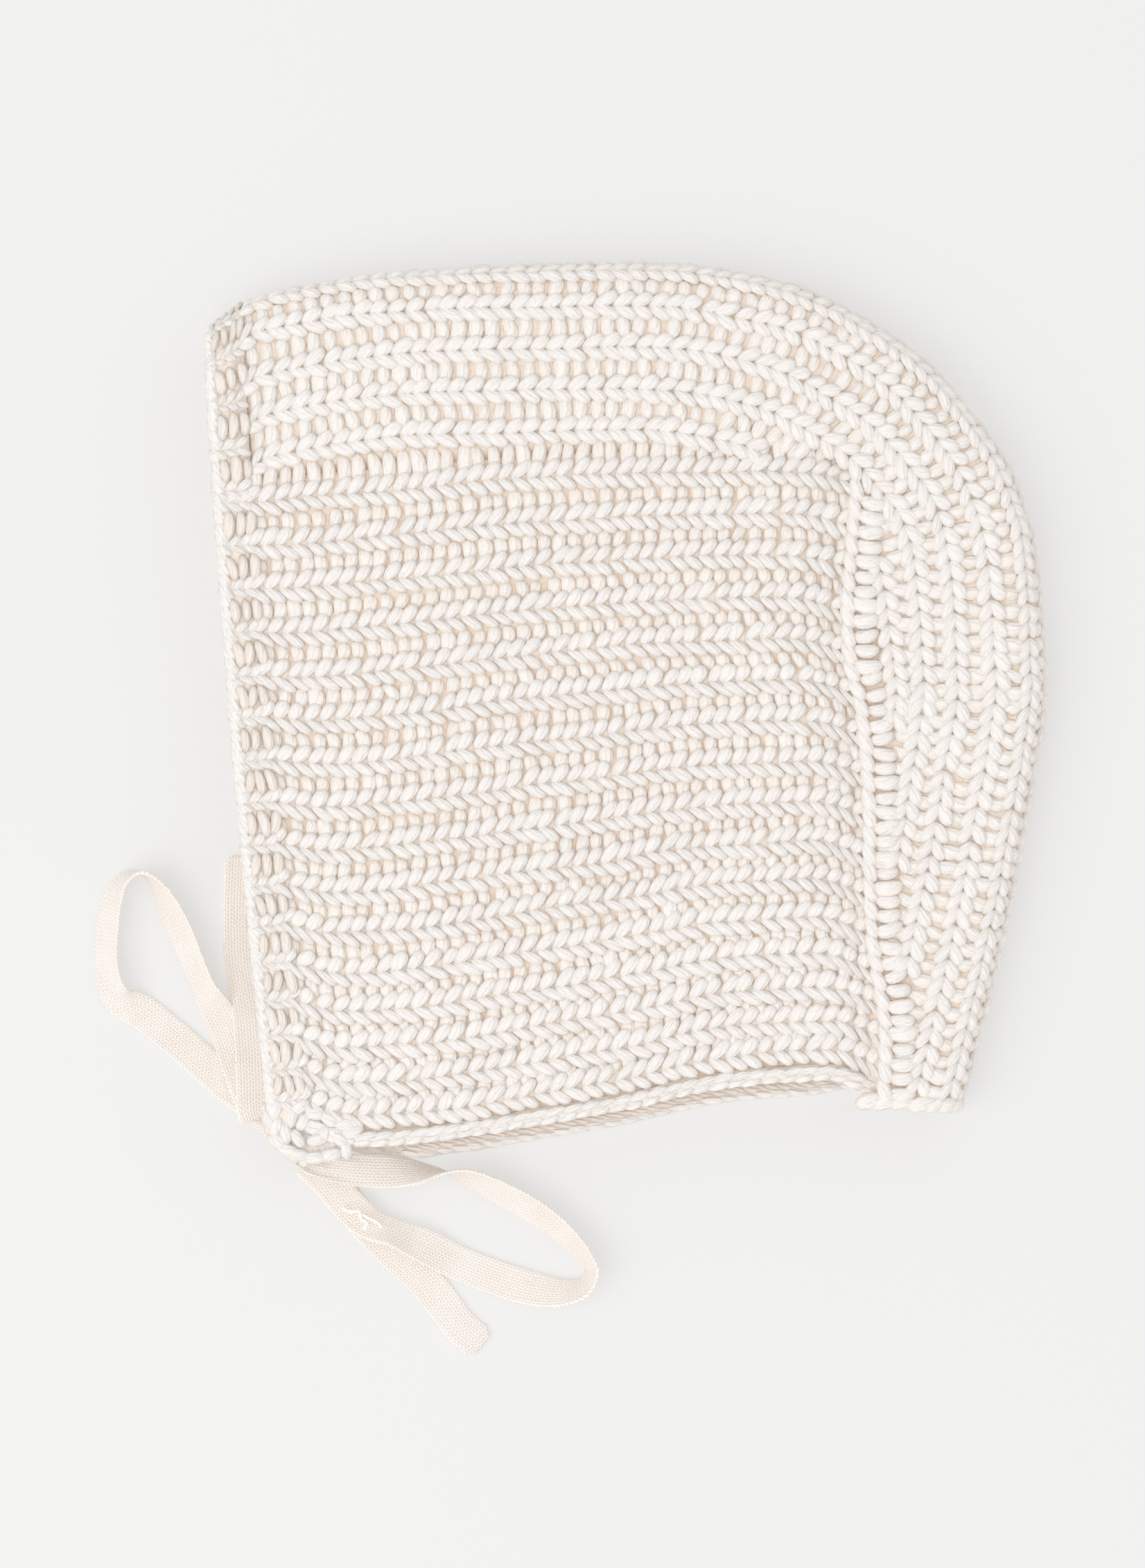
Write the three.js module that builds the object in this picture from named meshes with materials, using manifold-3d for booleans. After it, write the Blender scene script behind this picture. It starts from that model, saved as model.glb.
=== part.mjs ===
// Baby bonnet of thick 1x1 rib, lying on its side on a table, in millimetres with +Z up.
// The face opening points to -X, the crown of the head to +Y and the nape to the lower right.
// The near side is the upper one of the two layers, the far side lies on the table.
import * as THREE from "three";
import Module from "manifold-3d";
import { mergeVertices } from "three/addons/utils/BufferGeometryUtils.js";

const wasm = await Module();
wasm.setup();

// Driving dimensions
const bonnetDepth = 172;
const bonnetHeight = 183.4;
const knitWall = 3.8;
const ribRelief = 1.1;
const ribPitch = 8.4;
const panelRibs = 16;
const faceThickness = 14;
const crownThickness = 15.4;
const hemDepth = 7.5;
const hemWall = 3.2;
const faceBow = 1.1;
const neckEdgeWidth = 3.4;
const farEdgePeek = 3.2;
const seamPuff = 0.9;
const seamCrease = 1.3;
const hemLift = 1.6;
const hemCrownRise = 4.2;
const chinLift = 5;
const liftReach = 26;
const gatherLength = 14.4;
const gatherWidth = 8.2;
const gatherThickness = 3.6;
const tapeWidth = 7.4;
const tapeThickness = 1;
const clearance = 0.3;

// Resolution of the faceted solids
const stepsPerRib = 3;
const panelSteps = 12;
const bandSteps = 24;
const bendSteps = 6;
const hemSteps = 9;
const tapeSteps = 76;

// Each row is a point of a line on the lying bonnet: its share of bonnetDepth back from the foremost
// point of the face edge, and its share of bonnetHeight up from the chin.
const crownFold = [
  [0.076, 0.966],
  [0.223, 0.99],
  [0.459, 1],
  [0.568, 0.998],
  [0.662, 0.984],
  [0.724, 0.967],
  [0.786, 0.937],
  [0.858, 0.889],
  [0.913, 0.831],
  [0.95, 0.783],
  [0.975, 0.728],
  [0.991, 0.66],
  [1, 0.55],
  [0.997, 0.487],
  [0.968, 0.327],
  [0.935, 0.185],
  [0.901, 0.058],
];
const faceEdge = {
  top: [0.003, 0.923],
  chin: [0.082, 0.027],
};
const panelTop = [
  [0.215, 0.767],
  [0.378, 0.78],
  [0.54, 0.786],
  [0.703, 0.786],
  [0.764, 0.775],
];
const panelSeam = [
  [0.756, 0.692],
  [0.751, 0.631],
  [0.753, 0.553],
  [0.766, 0.503],
  [0.775, 0.416],
  [0.776, 0.33],
  [0.78, 0.244],
  [0.794, 0.157],
];
const panelNeck = [
  [0.174, 0.039],
  [0.247, 0.0405],
  [0.305, 0.0473],
  [0.393, 0.0611],
  [0.5, 0.0786],
  [0.6, 0.1],
  [0.702, 0.1092],
  [0.753, 0.1092],
  [0.794, 0.0924],
];
// Where each side panel begins and ends down the face edge, and the hem's end, as shares of its length.
const panelStart = 0.192;
const panelEnd = 0.972;
const hemEnd = 0.98;
// Where the two chin corners are gathered, and how far the far tie's strands lift the far one.
const chinGather = [0.131, 0.022];

// Each row is a point on the middle of a tie: x, y and z in mm, then the direction of the tape's width
// as its compass angle in plan and its lean above the table in degrees, and the share of the tape's
// full width that shows there, less where it is gathered.
const nearTieRoute = [
  [-66.6, -90.4, 8.4, 80, 0, 0.5],
  [-62.4, -92.4, 8.1, 75, 0, 0.7],
  [-56.1, -93.4, 7, 88, 5, 0.92],
  [-49.1, -93.9, 5.9, 90, -10, 1],
  [-42.8, -94.1, 5.4, 90, -45, 1],
  [-37.2, -94.1, 4.6, 92, -85, 1],
  [-32, -95.2, 4.3, 246, -60, 1],
  [-25.3, -98.3, 3.7, 242, -45, 1],
  [-18.3, -102.2, 3.6, 238, -42, 1],
  [-12.4, -106.7, 3.7, 228, -50, 1],
  [-8.2, -111, 3.9, 208, -62, 1],
  [-6.5, -114.5, 4, 180, -68, 1],
  [-8.2, -117.6, 3.8, 135, -60, 1],
  [-12.7, -118.7, 3, 100, -42, 1],
  [-19, -117.9, 1.7, 83, -16, 1],
  [-25.8, -115.9, 0.8, 74, 0, 1],
  [-33.7, -112.8, 0.9, 68, 0, 1],
  [-40.8, -109.1, 3, 65, -15, 1],
  [-46.8, -106.4, 4.2, 62, -38, 1],
  [-51.9, -104.4, 3.4, 58, -20, 1],
  [-56.1, -100.8, 2.1, 50, 0, 1],
  [-60.8, -95.3, 2, 47, 0, 1],
  [-63.2, -93, 1.8, 47, 0, 1],
  [-64, -92.2, 1.25, 47, 0, 1],
  [-63.2, -93, 0.65, 47, 0, 1],
  [-58.9, -97, 0.55, 45, 0, 1],
  [-53.3, -104, 0.55, 40, 0, 1],
  [-49.5, -108.1, 0.55, 40, 0, 1],
  [-39.7, -117.5, 0.55, 43, 0, 1],
  [-33, -126, 0.55, 38, 0, 1],
  [-28.8, -129.6, 0.55, 40, 0, 1],
];
const farTieRoute = [
  [-64.9, -89.6, 4.1, 52, 0, 0.5],
  [-69.1, -86.4, 2.4, 52, 0, 0.8],
  [-76.5, -79.7, 0.8, 48, 0, 1],
  [-80.2, -76.9, 0.6, 48, 0, 1],
  [-90.4, -67.9, 0.6, 49, 0, 1],
  [-98.1, -61.7, 0.7, 50, 0, 1],
  [-102.3, -59.4, 1.9, 32, 20, 1],
  [-104, -56.8, 3, 15, 42, 1],
  [-105.1, -51.5, 3.2, 5, 48, 1],
  [-104.9, -44.7, 3.2, -5, 48, 1],
  [-103.4, -37.5, 3.5, -15, 55, 1],
  [-100.9, -34.2, 3.9, -40, 72, 1],
  [-97.4, -33.6, 4, 60, 84, 1],
  [-94.2, -36.8, 3.8, 35, 62, 1],
  [-90.4, -44.7, 3.1, 25, 42, 1],
  [-85.6, -55.9, 3.2, 25, 46, 1],
  [-83.4, -60.2, 2.1, 25, 24, 1],
  [-81, -64.8, 1.3, 24, 6, 1],
  [-78.7, -71.1, 1.6, 20, 0, 1],
  [-76.4, -77.8, 2.3, 20, 0, 1],
  [-75, -81.8, 2.8, 20, 0, 1],
  [-74.6, -83, 3.4, 20, 0, 1],
  [-75, -81.8, 4, 18, 0, 1],
  [-75.2, -76.7, 3.9, 10, 0, 1],
  [-75.5, -69, 3.7, 8, 0, 1],
  [-76.1, -62, 2.9, 10, 0, 1],
  [-77.1, -55.7, 1.3, 8, 0, 1],
  [-77.8, -50.8, 0.65, 2, 0, 1],
  [-78, -40.3, 0.6, 0, 0, 1],
  [-77.6, -30, 0.6, -2, 0, 1],
];

const knitColour = 0xf1e9e0;
const tapeColour = 0xf3e7d6;

// Places of the lying bonnet

const clamp01 = (x) => Math.min(1, Math.max(0, x));

function ease(x) {
  const t = clamp01(x);
  return t * t * (3 - 2 * t);
}

function plan([back, up]) {
  return new THREE.Vector2((back - 0.5) * bonnetDepth, (up - 0.5) * bonnetHeight);
}

const faceTop = plan(faceEdge.top);
const faceChin = plan(faceEdge.chin);
const faceLength = faceTop.distanceTo(faceChin);
const faceDown = faceChin.clone().sub(faceTop).normalize();
const faceInward = new THREE.Vector2(-faceDown.y, faceDown.x);

// Point at a distance down from the crown fold and a depth in from the face edge.
function facePoint(down, inward) {
  const share = clamp01(down / faceLength);
  const bow = -4 * faceBow * share * (1 - share);
  return faceTop.clone().addScaledVector(faceDown, down).addScaledVector(faceInward, inward + bow);
}

const behindHem = hemDepth + clearance;
const foldLine = new THREE.SplineCurve([facePoint(-hemCrownRise, behindHem), ...crownFold.map(plan)]);
const topLine = new THREE.SplineCurve([facePoint(panelStart * faceLength, behindHem), ...panelTop.map(plan)]);
const neckLine = new THREE.SplineCurve([facePoint(panelEnd * faceLength, behindHem), ...panelNeck.map(plan)]);
const seamLine = new THREE.SplineCurve([topLine.getPoint(1), ...panelSeam.map(plan), neckLine.getPoint(1)]);

// The face edge is lifted a little off the table, and the chin more, by the ties that lie under it.
function onTable(at, height) {
  const from = at.clone().sub(faceTop);
  const share = from.dot(faceDown) / faceLength;
  const near = 1 - ease((from.dot(faceInward) - hemDepth / 2) / liftReach);
  const lift = (hemLift + (chinLift - hemLift) * ease((share - 0.66) / 0.18)) * near;
  return new THREE.Vector3(at.x, at.y, height + lift * (1 - height / faceThickness));
}

// 1 in the furrow between two ribs, where the count of ribs is whole, and 0 on their crests.
const furrow = (ribs) => (Math.abs(ribs - Math.round(ribs)) < 1 / 4 ? 1 : 0);

// Closed solids

function closedMesh(points, faces) {
  const geometry = new THREE.BufferGeometry();
  geometry.setAttribute("position", new THREE.Float32BufferAttribute(points.flatMap((p) => [p.x, p.y, p.z]), 3));
  geometry.setIndex(faces);
  return facingOut(geometry);
}

function solidOf(geometry) {
  const bare = geometry.clone();
  bare.deleteAttribute("normal");
  bare.deleteAttribute("uv");
  const merged = mergeVertices(bare, 1e-4);
  return new wasm.Manifold(
    new wasm.Mesh({
      numProp: 3,
      vertProperties: merged.attributes.position.array,
      triVerts: new Uint32Array(merged.index.array),
    }),
  );
}

function geometryOf(solid) {
  const mesh = solid.getMesh();
  const geometry = new THREE.BufferGeometry();
  geometry.setAttribute("position", new THREE.BufferAttribute(mesh.vertProperties, 3));
  geometry.setIndex(new THREE.BufferAttribute(mesh.triVerts, 1));
  return geometry;
}

function facingOut(geometry) {
  if (solidOf(geometry).volume() > 0) return geometry;
  const index = geometry.index.array;
  for (let i = 0; i < index.length; i += 3) {
    [index[i + 1], index[i + 2]] = [index[i + 2], index[i + 1]];
  }
  return geometry;
}

// A wall between an outer and an inner grid of points, each a list of rows of the same length.
function wallBetween(outer, inner) {
  const rows = outer.length;
  const columns = outer[0].length;
  const faces = [];
  const quad = (a, b, c, d) => faces.push(a, b, c, a, c, d);
  const at = (row, column, side) => side * rows * columns + row * columns + column;
  for (let r = 0; r + 1 < rows; r++) {
    for (let c = 0; c + 1 < columns; c++) {
      quad(at(r, c, 0), at(r + 1, c, 0), at(r + 1, c + 1, 0), at(r, c + 1, 0));
      quad(at(r, c, 1), at(r, c + 1, 1), at(r + 1, c + 1, 1), at(r + 1, c, 1));
    }
    quad(at(r, 0, 0), at(r, 0, 1), at(r + 1, 0, 1), at(r + 1, 0, 0));
    quad(at(r, columns - 1, 0), at(r + 1, columns - 1, 0), at(r + 1, columns - 1, 1), at(r, columns - 1, 1));
  }
  for (let c = 0; c + 1 < columns; c++) {
    quad(at(0, c, 0), at(0, c + 1, 0), at(0, c + 1, 1), at(0, c, 1));
    quad(at(rows - 1, c, 0), at(rows - 1, c, 1), at(rows - 1, c + 1, 1), at(rows - 1, c + 1, 0));
  }
  return closedMesh([...outer.flat(), ...inner.flat()], faces);
}

// A solid through a row of like sections, each a ring of points, closed flat at both ends.
function loft(rings) {
  const sides = rings[0].length;
  const last = (rings.length - 1) * sides;
  const faces = [];
  for (let r = 0; r < last; r += sides) {
    for (let i = 0; i < sides; i++) {
      const a = r + i;
      const b = r + ((i + 1) % sides);
      faces.push(a, b, b + sides, a, b + sides, a + sides);
    }
  }
  for (let i = 1; i + 1 < sides; i++) {
    faces.push(0, i + 1, i, last, last + i, last + i + 1);
  }
  return closedMesh(rings.flat(), faces);
}

// Side panels: along runs from the hem to the seam, down from the crown to the neck edge.

function neckPoint(along, peek) {
  const lowered = peek * ease(along / 0.2) * ease((1 - along) / 0.12);
  return neckLine.getPointAt(along).sub(new THREE.Vector2(0, lowered));
}

function panelPoint(along, down, peek) {
  const between = (a, b, share) => a.clone().lerp(b, share);
  const edgeDown = THREE.MathUtils.lerp(panelStart, panelEnd, down) * faceLength;
  const acrossRibs = between(topLine.getPointAt(along), neckPoint(along, peek), down);
  const alongRibs = between(facePoint(edgeDown, behindHem), seamLine.getPointAt(down), along);
  const hemCorners = between(topLine.getPoint(0), neckLine.getPoint(0), down);
  const seamCorners = between(topLine.getPoint(1), neckLine.getPoint(1), down);
  return acrossRibs.add(alongRibs).sub(between(hemCorners, seamCorners, along));
}

// Ribs lie a little closer together towards the neck.
const ribShare = (share) => share + 0.09 * share * (1 - share ** 3);

function panelHeight(along, down) {
  const swell = (crownThickness - faceThickness) * ease(along / 0.3) * (1 - ease((down - 0.75) / 0.25));
  const puff = seamPuff * Math.exp(-(((along - 0.9) / 0.07) ** 2));
  const seamFall = seamCrease * ease((along - 0.94) / 0.06);
  const crownFall = seamCrease * ease((along - 0.6) / 0.3) * (1 - ease(down / 0.05));
  return faceThickness + swell + puff - seamFall - crownFall;
}

function sidePanel(near) {
  const outer = [];
  const inner = [];
  for (let i = 0; i <= panelSteps; i++) {
    const along = i / panelSteps;
    outer.push([]);
    inner.push([]);
    for (let k = 0; k <= panelRibs * stepsPerRib; k++) {
      const ribs = k / stepsPerRib;
      const down = ribShare(ribs / panelRibs);
      const at = panelPoint(along, down, near ? 0 : farEdgePeek);
      const relief = ribRelief * furrow(ribs);
      const top = panelHeight(along, down);
      outer[i].push(onTable(at, near ? top - relief : relief));
      inner[i].push(onTable(at, near ? top - knitWall : knitWall));
    }
  }
  return wallBetween(outer, inner);
}

// Crown band: one strip of rib from the face over the crown and down the back to the nape, folded
// lengthwise where the bonnet lies on its side.

// Depth in from the fold and height, at an arc length round it and an inset into the knit.
function roundFold(arc, thickness, inset) {
  const radius = thickness / 2;
  const quarter = (Math.PI * radius) / 2;
  const angle = Math.max(-Math.PI / 2, Math.min(Math.PI / 2, arc / radius));
  return {
    depth: radius - (radius - inset) * Math.cos(angle) + Math.max(0, Math.abs(arc) - quarter),
    height: radius + (radius - inset) * Math.sin(angle),
  };
}

function bandDirection(along) {
  const tangent = foldLine.getTangentAt(along);
  const inward = new THREE.Vector2(tangent.y, -tangent.x);
  inward.lerp(faceDown, 1 - ease(along / 0.14));
  inward.lerp(new THREE.Vector2(-1, 0.05), ease((along - 0.9) / 0.1));
  return inward.normalize();
}

function bandPoint(along, arc, inset) {
  const thickness = THREE.MathUtils.lerp(faceThickness, crownThickness, ease(along / 0.15));
  const { depth, height } = roundFold(arc, thickness, inset);
  const at = foldLine.getPointAt(along).addScaledVector(bandDirection(along), depth);
  return onTable(at, height);
}

// Ribs from the fold to the middle of the near side's first one: the bonnet lies folded a little off
// its middle towards the nape.
const firstRib = (along) => 0.5 + 0.4 * ease((along - 0.45) / 0.25);

// Everything that the side panels take up, seen from above, with the clearance round them.
function panelCutter() {
  const reach = bonnetHeight;
  const points = [];
  for (let i = 0; i <= panelSteps; i++) {
    points.push(topLine.getPointAt(i / panelSteps).add(new THREE.Vector2(0, clearance)));
  }
  const ribSteps = panelRibs * stepsPerRib;
  for (let k = 0; k <= ribSteps; k++) {
    const down = ribShare(k / ribSteps);
    points.push(seamLine.getPointAt(down).add(new THREE.Vector2(clearance, k === 0 ? clearance : 0)));
  }
  points.push(new THREE.Vector2(points.at(-1).x, -reach));
  points.push(new THREE.Vector2(-reach, -reach));
  points.push(new THREE.Vector2(-reach, points[0].y));
  const depth = 3 * crownThickness;
  const cutter = new THREE.ExtrudeGeometry(new THREE.Shape(points), { depth, bevelEnabled: false });
  return cutter.translate(0, 0, -crownThickness);
}

function crownBand() {
  const outer = [];
  const inner = [];
  const halfArc = 5.45 * ribPitch;
  const arcSteps = Math.round((2 * halfArc * stepsPerRib) / ribPitch);
  for (let i = 0; i <= bandSteps; i++) {
    const along = i / bandSteps;
    outer.push([]);
    inner.push([]);
    for (let k = 0; k <= arcSteps; k++) {
      const arc = halfArc * ((2 * k) / arcSteps - 1);
      const ribs = arc / ribPitch - firstRib(along) + 0.5;
      outer[i].push(bandPoint(along, arc, ribRelief * furrow(ribs)));
      inner[i].push(bandPoint(along, arc, knitWall));
    }
  }
  const whole = solidOf(wallBetween(outer, inner));
  return geometryOf(whole.subtract(solidOf(panelCutter())));
}

// Face hem: a plain strip all round the face opening, folded over at the crown with the rest.

function faceHem() {
  const depthShares = [0, 0.1, 0.35, 1, 1, 0.35, 0.1];
  const insets = [0.5, 0.15, 0, 0, 1, 1, 0.85];
  const quarter = (Math.PI * faceThickness) / 4;
  const strip = hemEnd * faceLength - faceThickness / 2;
  const arcs = [];
  for (let i = 0; i < hemSteps; i++) {
    arcs.push(quarter + strip * (1 - i / hemSteps));
  }
  for (let i = 0; i <= bendSteps; i++) {
    arcs.push(quarter * (1 - (2 * i) / bendSteps));
  }
  for (let i = 1; i <= hemSteps; i++) {
    arcs.push(-quarter - (strip * i) / hemSteps);
  }
  const section = (arc) =>
    depthShares.map((share, i) => {
      const { depth, height } = roundFold(arc, faceThickness, insets[i] * hemWall);
      const rise = hemCrownRise * share * (1 - ease(depth / 30));
      return onTable(facePoint(depth - rise, share * hemDepth), height);
    });
  return loft(arcs.map(section));
}

// Neck edges: the thick bound-off chain along the bottom of each side.

function neckEdge(near) {
  const sides = 8;
  const rings = [];
  const peek = near ? 0 : farEdgePeek;
  for (let i = 1; i <= panelSteps; i++) {
    const along = i / panelSteps;
    const ahead = neckPoint(Math.min(1, along + 1 / panelSteps), peek);
    const behind = neckPoint(along - 1 / panelSteps, peek);
    const outward = new THREE.Vector2(ahead.y - behind.y, behind.x - ahead.x).normalize();
    const at = neckPoint(along, peek).addScaledVector(outward, neckEdgeWidth / 2 + 1.5 * clearance);
    const middle = near ? panelHeight(along, 1) - knitWall / 2 : knitWall / 2;
    const ring = [];
    for (let k = 0; k < sides; k++) {
      const angle = (2 * Math.PI * (k + 0.5)) / sides;
      const edge = at.clone().addScaledVector(outward, (Math.cos(angle) * neckEdgeWidth) / 2);
      ring.push(onTable(edge, middle + (Math.sin(angle) * knitWall) / 2));
    }
    rings.push(ring);
  }
  return loft(rings);
}

// Chin gathers: the corner of each side drawn up into a small lump, where its tie is sewn on.

function chinGatherLump(height, thickness) {
  const lump = new THREE.SphereGeometry(0.5, 14, 8);
  lump.scale(gatherLength, gatherWidth, thickness);
  const at = plan(chinGather);
  lump.translate(at.x, at.y, height);
  return geometryOf(solidOf(lump));
}

// Ties: flat tapes that lie on the table and lean on edge where they bend.

function tie(route) {
  const middle = new THREE.CatmullRomCurve3(route.map(([x, y, z]) => new THREE.Vector3(x, y, z)));
  const widths = new THREE.CatmullRomCurve3(
    route.map(([, , , compass, lean]) => {
      const plane = THREE.MathUtils.degToRad(compass);
      const rise = THREE.MathUtils.degToRad(lean);
      const flat = Math.cos(rise);
      return new THREE.Vector3(flat * Math.cos(plane), flat * Math.sin(plane), Math.sin(rise));
    }),
  );
  const shares = new THREE.SplineCurve(route.map((row, i) => new THREE.Vector2(i, row[5])));
  const outline = [
    [0.5, 0],
    [0.44, 0.5],
    [-0.44, 0.5],
    [-0.5, 0],
    [-0.44, -0.5],
    [0.44, -0.5],
  ];
  const rings = [];
  for (let i = 0; i <= tapeSteps; i++) {
    const t = i / tapeSteps;
    const tangent = middle.getTangent(t);
    const across = widths.getPoint(t).projectOnPlane(tangent).normalize();
    const through = new THREE.Vector3().crossVectors(tangent, across);
    const width = tapeWidth * Math.min(1, shares.getPoint(t).y);
    const corner = ([a, b]) =>
      middle.getPoint(t).addScaledVector(across, a * width).addScaledVector(through, b * tapeThickness);
    rings.push(outline.map(corner));
  }
  return loft(rings);
}

const knit = new THREE.MeshStandardMaterial({ color: knitColour, roughness: 0.95, metalness: 0 });
const tape = new THREE.MeshStandardMaterial({ color: tapeColour, roughness: 0.9, metalness: 0 });

const gatherHeight = faceThickness - gatherThickness / 2 - clearance;
const farGatherThickness = 2.4;
const farGatherHeight = chinLift + farGatherThickness / 2;

const pieces = [
  ["near_side_panel", sidePanel(true), knit],
  ["far_side_panel", sidePanel(false), knit],
  ["crown_band", crownBand(), knit],
  ["face_hem", faceHem(), knit],
  ["near_neck_edge", neckEdge(true), knit],
  ["far_neck_edge", neckEdge(false), knit],
  ["near_chin_gather", chinGatherLump(gatherHeight, gatherThickness), knit],
  ["far_chin_gather", chinGatherLump(farGatherHeight, farGatherThickness), knit],
  ["near_tie", tie(nearTieRoute), tape],
  ["far_tie", tie(farTieRoute), tape],
];

const bonnet = new THREE.Group();
for (const [name, geometry, material] of pieces) {
  const mesh = new THREE.Mesh(geometry, material);
  mesh.name = name;
  bonnet.add(mesh);
}

// The origin is under the middle of the bonnet, ties left out of the measure.
const footprint = new THREE.Box3();
for (const mesh of bonnet.children) {
  if (mesh.material === knit) footprint.expandByObject(mesh);
}
const centre = footprint.getCenter(new THREE.Vector3());
bonnet.position.set(-centre.x, -centre.y, -footprint.min.z);

export default bonnet;
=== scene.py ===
import math

import bpy
import numpy as np
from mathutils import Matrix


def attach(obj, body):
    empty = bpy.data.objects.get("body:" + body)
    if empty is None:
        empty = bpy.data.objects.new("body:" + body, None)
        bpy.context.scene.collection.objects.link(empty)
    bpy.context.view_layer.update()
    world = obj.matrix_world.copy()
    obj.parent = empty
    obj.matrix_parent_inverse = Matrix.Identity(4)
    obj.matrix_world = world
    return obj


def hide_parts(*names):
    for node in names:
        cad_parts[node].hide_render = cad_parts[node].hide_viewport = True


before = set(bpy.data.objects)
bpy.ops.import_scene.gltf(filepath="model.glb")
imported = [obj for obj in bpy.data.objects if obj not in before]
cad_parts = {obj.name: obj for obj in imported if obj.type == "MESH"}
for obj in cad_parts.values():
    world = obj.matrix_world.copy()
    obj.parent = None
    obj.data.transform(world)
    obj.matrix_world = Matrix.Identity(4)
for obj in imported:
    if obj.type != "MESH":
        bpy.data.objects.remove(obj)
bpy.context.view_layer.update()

# Table, camera and light
# The bonnet lies on its side on a white table and is seen from straight above. One broad soft light
# from the face side and a bright white room leave only faint shadows beside the wool.
mm = 0.001
view_height = 316.8 * mm
view_centre = (-10.72 * mm, -14.79 * mm)
camera_height = 1500 * mm
true_scale_height = 12 * mm
lens_data = bpy.data.cameras.new("camera")
lens_data.sensor_width = 36
lens_data.lens = lens_data.sensor_width * (camera_height - true_scale_height) / view_height
lens_data.clip_end = 10
camera = bpy.data.objects.new("camera", lens_data)
camera.location = (*view_centre, camera_height)
bpy.context.scene.collection.objects.link(camera)
bpy.context.scene.camera = camera

table_top_material = bpy.data.materials.new("table_top")
table_top_material.use_nodes = True
table_top_shader = table_top_material.node_tree.nodes["Principled BSDF"]
table_top_shader.inputs["Base Color"].default_value = (0.42, 0.42, 0.417, 1)
table_top_shader.inputs["Emission Color"].default_value = (1, 0.998, 0.99, 1)
table_top_shader.inputs["Emission Strength"].default_value = 0.44
table_top_shader.inputs["Roughness"].default_value = 0.85
table_top_shader.inputs["Specular IOR Level"].default_value = 0.1
bpy.ops.object.select_all(action="DESELECT")
bpy.ops.mesh.primitive_plane_add(size=6, location=(0, 0, -0.05 * mm))
table_top = bpy.context.object
table_top.name = "table_top"
table_top.data.materials.append(table_top_material)

room = bpy.data.worlds.new("white_room")
room.use_nodes = True
room.node_tree.nodes["Background"].inputs["Color"].default_value = (1, 1, 1, 1)
room.node_tree.nodes["Background"].inputs["Strength"].default_value = 0.83
bpy.context.scene.world = room
bpy.context.scene.view_settings.view_transform = "Standard"

softbox_data = bpy.data.lights.new("softbox", "AREA")
softbox_data.size = 1.3
softbox_data.energy = 8
softbox = bpy.data.objects.new("softbox", softbox_data)
softbox.location = (-0.75, -0.45, 1.25)
softbox.rotation_euler = (math.radians(18), math.radians(-31), 0)
bpy.context.scene.collection.objects.link(softbox)

# Near tie
# A flat tape of fine stocking stitch with rolled edges, sewn under the near chin corner. It runs to
# the right, turns on edge, loops back below itself and ends in a cut tail, loose on the table.
# The solids stand this far from the drawing that the ties' routes were chosen in, in mm.
origin_shift = np.array([-0.288, 0.536, 0.0])
tape_width = 7.4
tape_thickness = 1.0
wale_width = 1.2
course_height = 0.82
tape_cut_length = 2.2
tape_edge_roll = 0.3
tape_curl = 0.11
tape_pleats = 3.2
pleat_height = 0.45
pleat_start = 4
pleat_fade = 14
tape_steps = 520
tape_sides = 32
tape_path_points = 120
fray_hairs = 220
thread_radius = 0.24
# Each row: a place in mm, the compass way and the lean of the tape's width in degrees, and the share
# of its full width.
near_tie_route = [
    (-66.6, -90.4, 8.4, 80, 0, 0.5),
    (-62.4, -92.4, 8.1, 75, 0, 0.7),
    (-56.1, -93.4, 7, 88, 5, 0.92),
    (-49.1, -93.9, 5.9, 90, -10, 1),
    (-42.8, -94.1, 5.4, 90, -45, 1),
    (-37.2, -94.1, 4.6, 92, -85, 1),
    (-32, -95.2, 4.3, 246, -60, 1),
    (-25.3, -98.3, 3.7, 242, -45, 1),
    (-18.3, -102.2, 3.6, 238, -42, 1),
    (-12.4, -106.7, 3.7, 228, -50, 1),
    (-8.2, -111, 3.9, 208, -62, 1),
    (-6.5, -114.5, 4, 180, -68, 1),
    (-8.2, -117.6, 3.8, 135, -60, 1),
    (-12.7, -118.7, 3, 100, -42, 1),
    (-19, -117.9, 1.7, 83, -16, 1),
    (-25.8, -115.9, 0.8, 74, 0, 1),
    (-33.7, -112.8, 0.9, 68, 0, 1),
    (-40.8, -109.1, 3, 65, -15, 1),
    (-46.8, -106.4, 4.2, 62, -38, 1),
    (-51.9, -104.4, 3.4, 58, -20, 1),
    (-56.1, -100.8, 2.1, 50, 0, 1),
    (-60.8, -95.3, 2, 47, 0, 1),
    (-63.2, -93, 1.8, 47, 0, 1),
    (-64, -92.2, 1.25, 47, 0, 1),
    (-63.2, -93, 0.65, 47, 0, 1),
    (-58.9, -97, 0.55, 45, 0, 1),
    (-53.3, -104, 0.55, 40, 0, 1),
    (-49.5, -108.1, 0.55, 40, 0, 1),
    (-39.7, -117.5, 0.55, 43, 0, 1),
    (-33, -126, 0.55, 38, 0, 1),
    (-28.8, -129.6, 0.55, 40, 0, 1),
]


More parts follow.
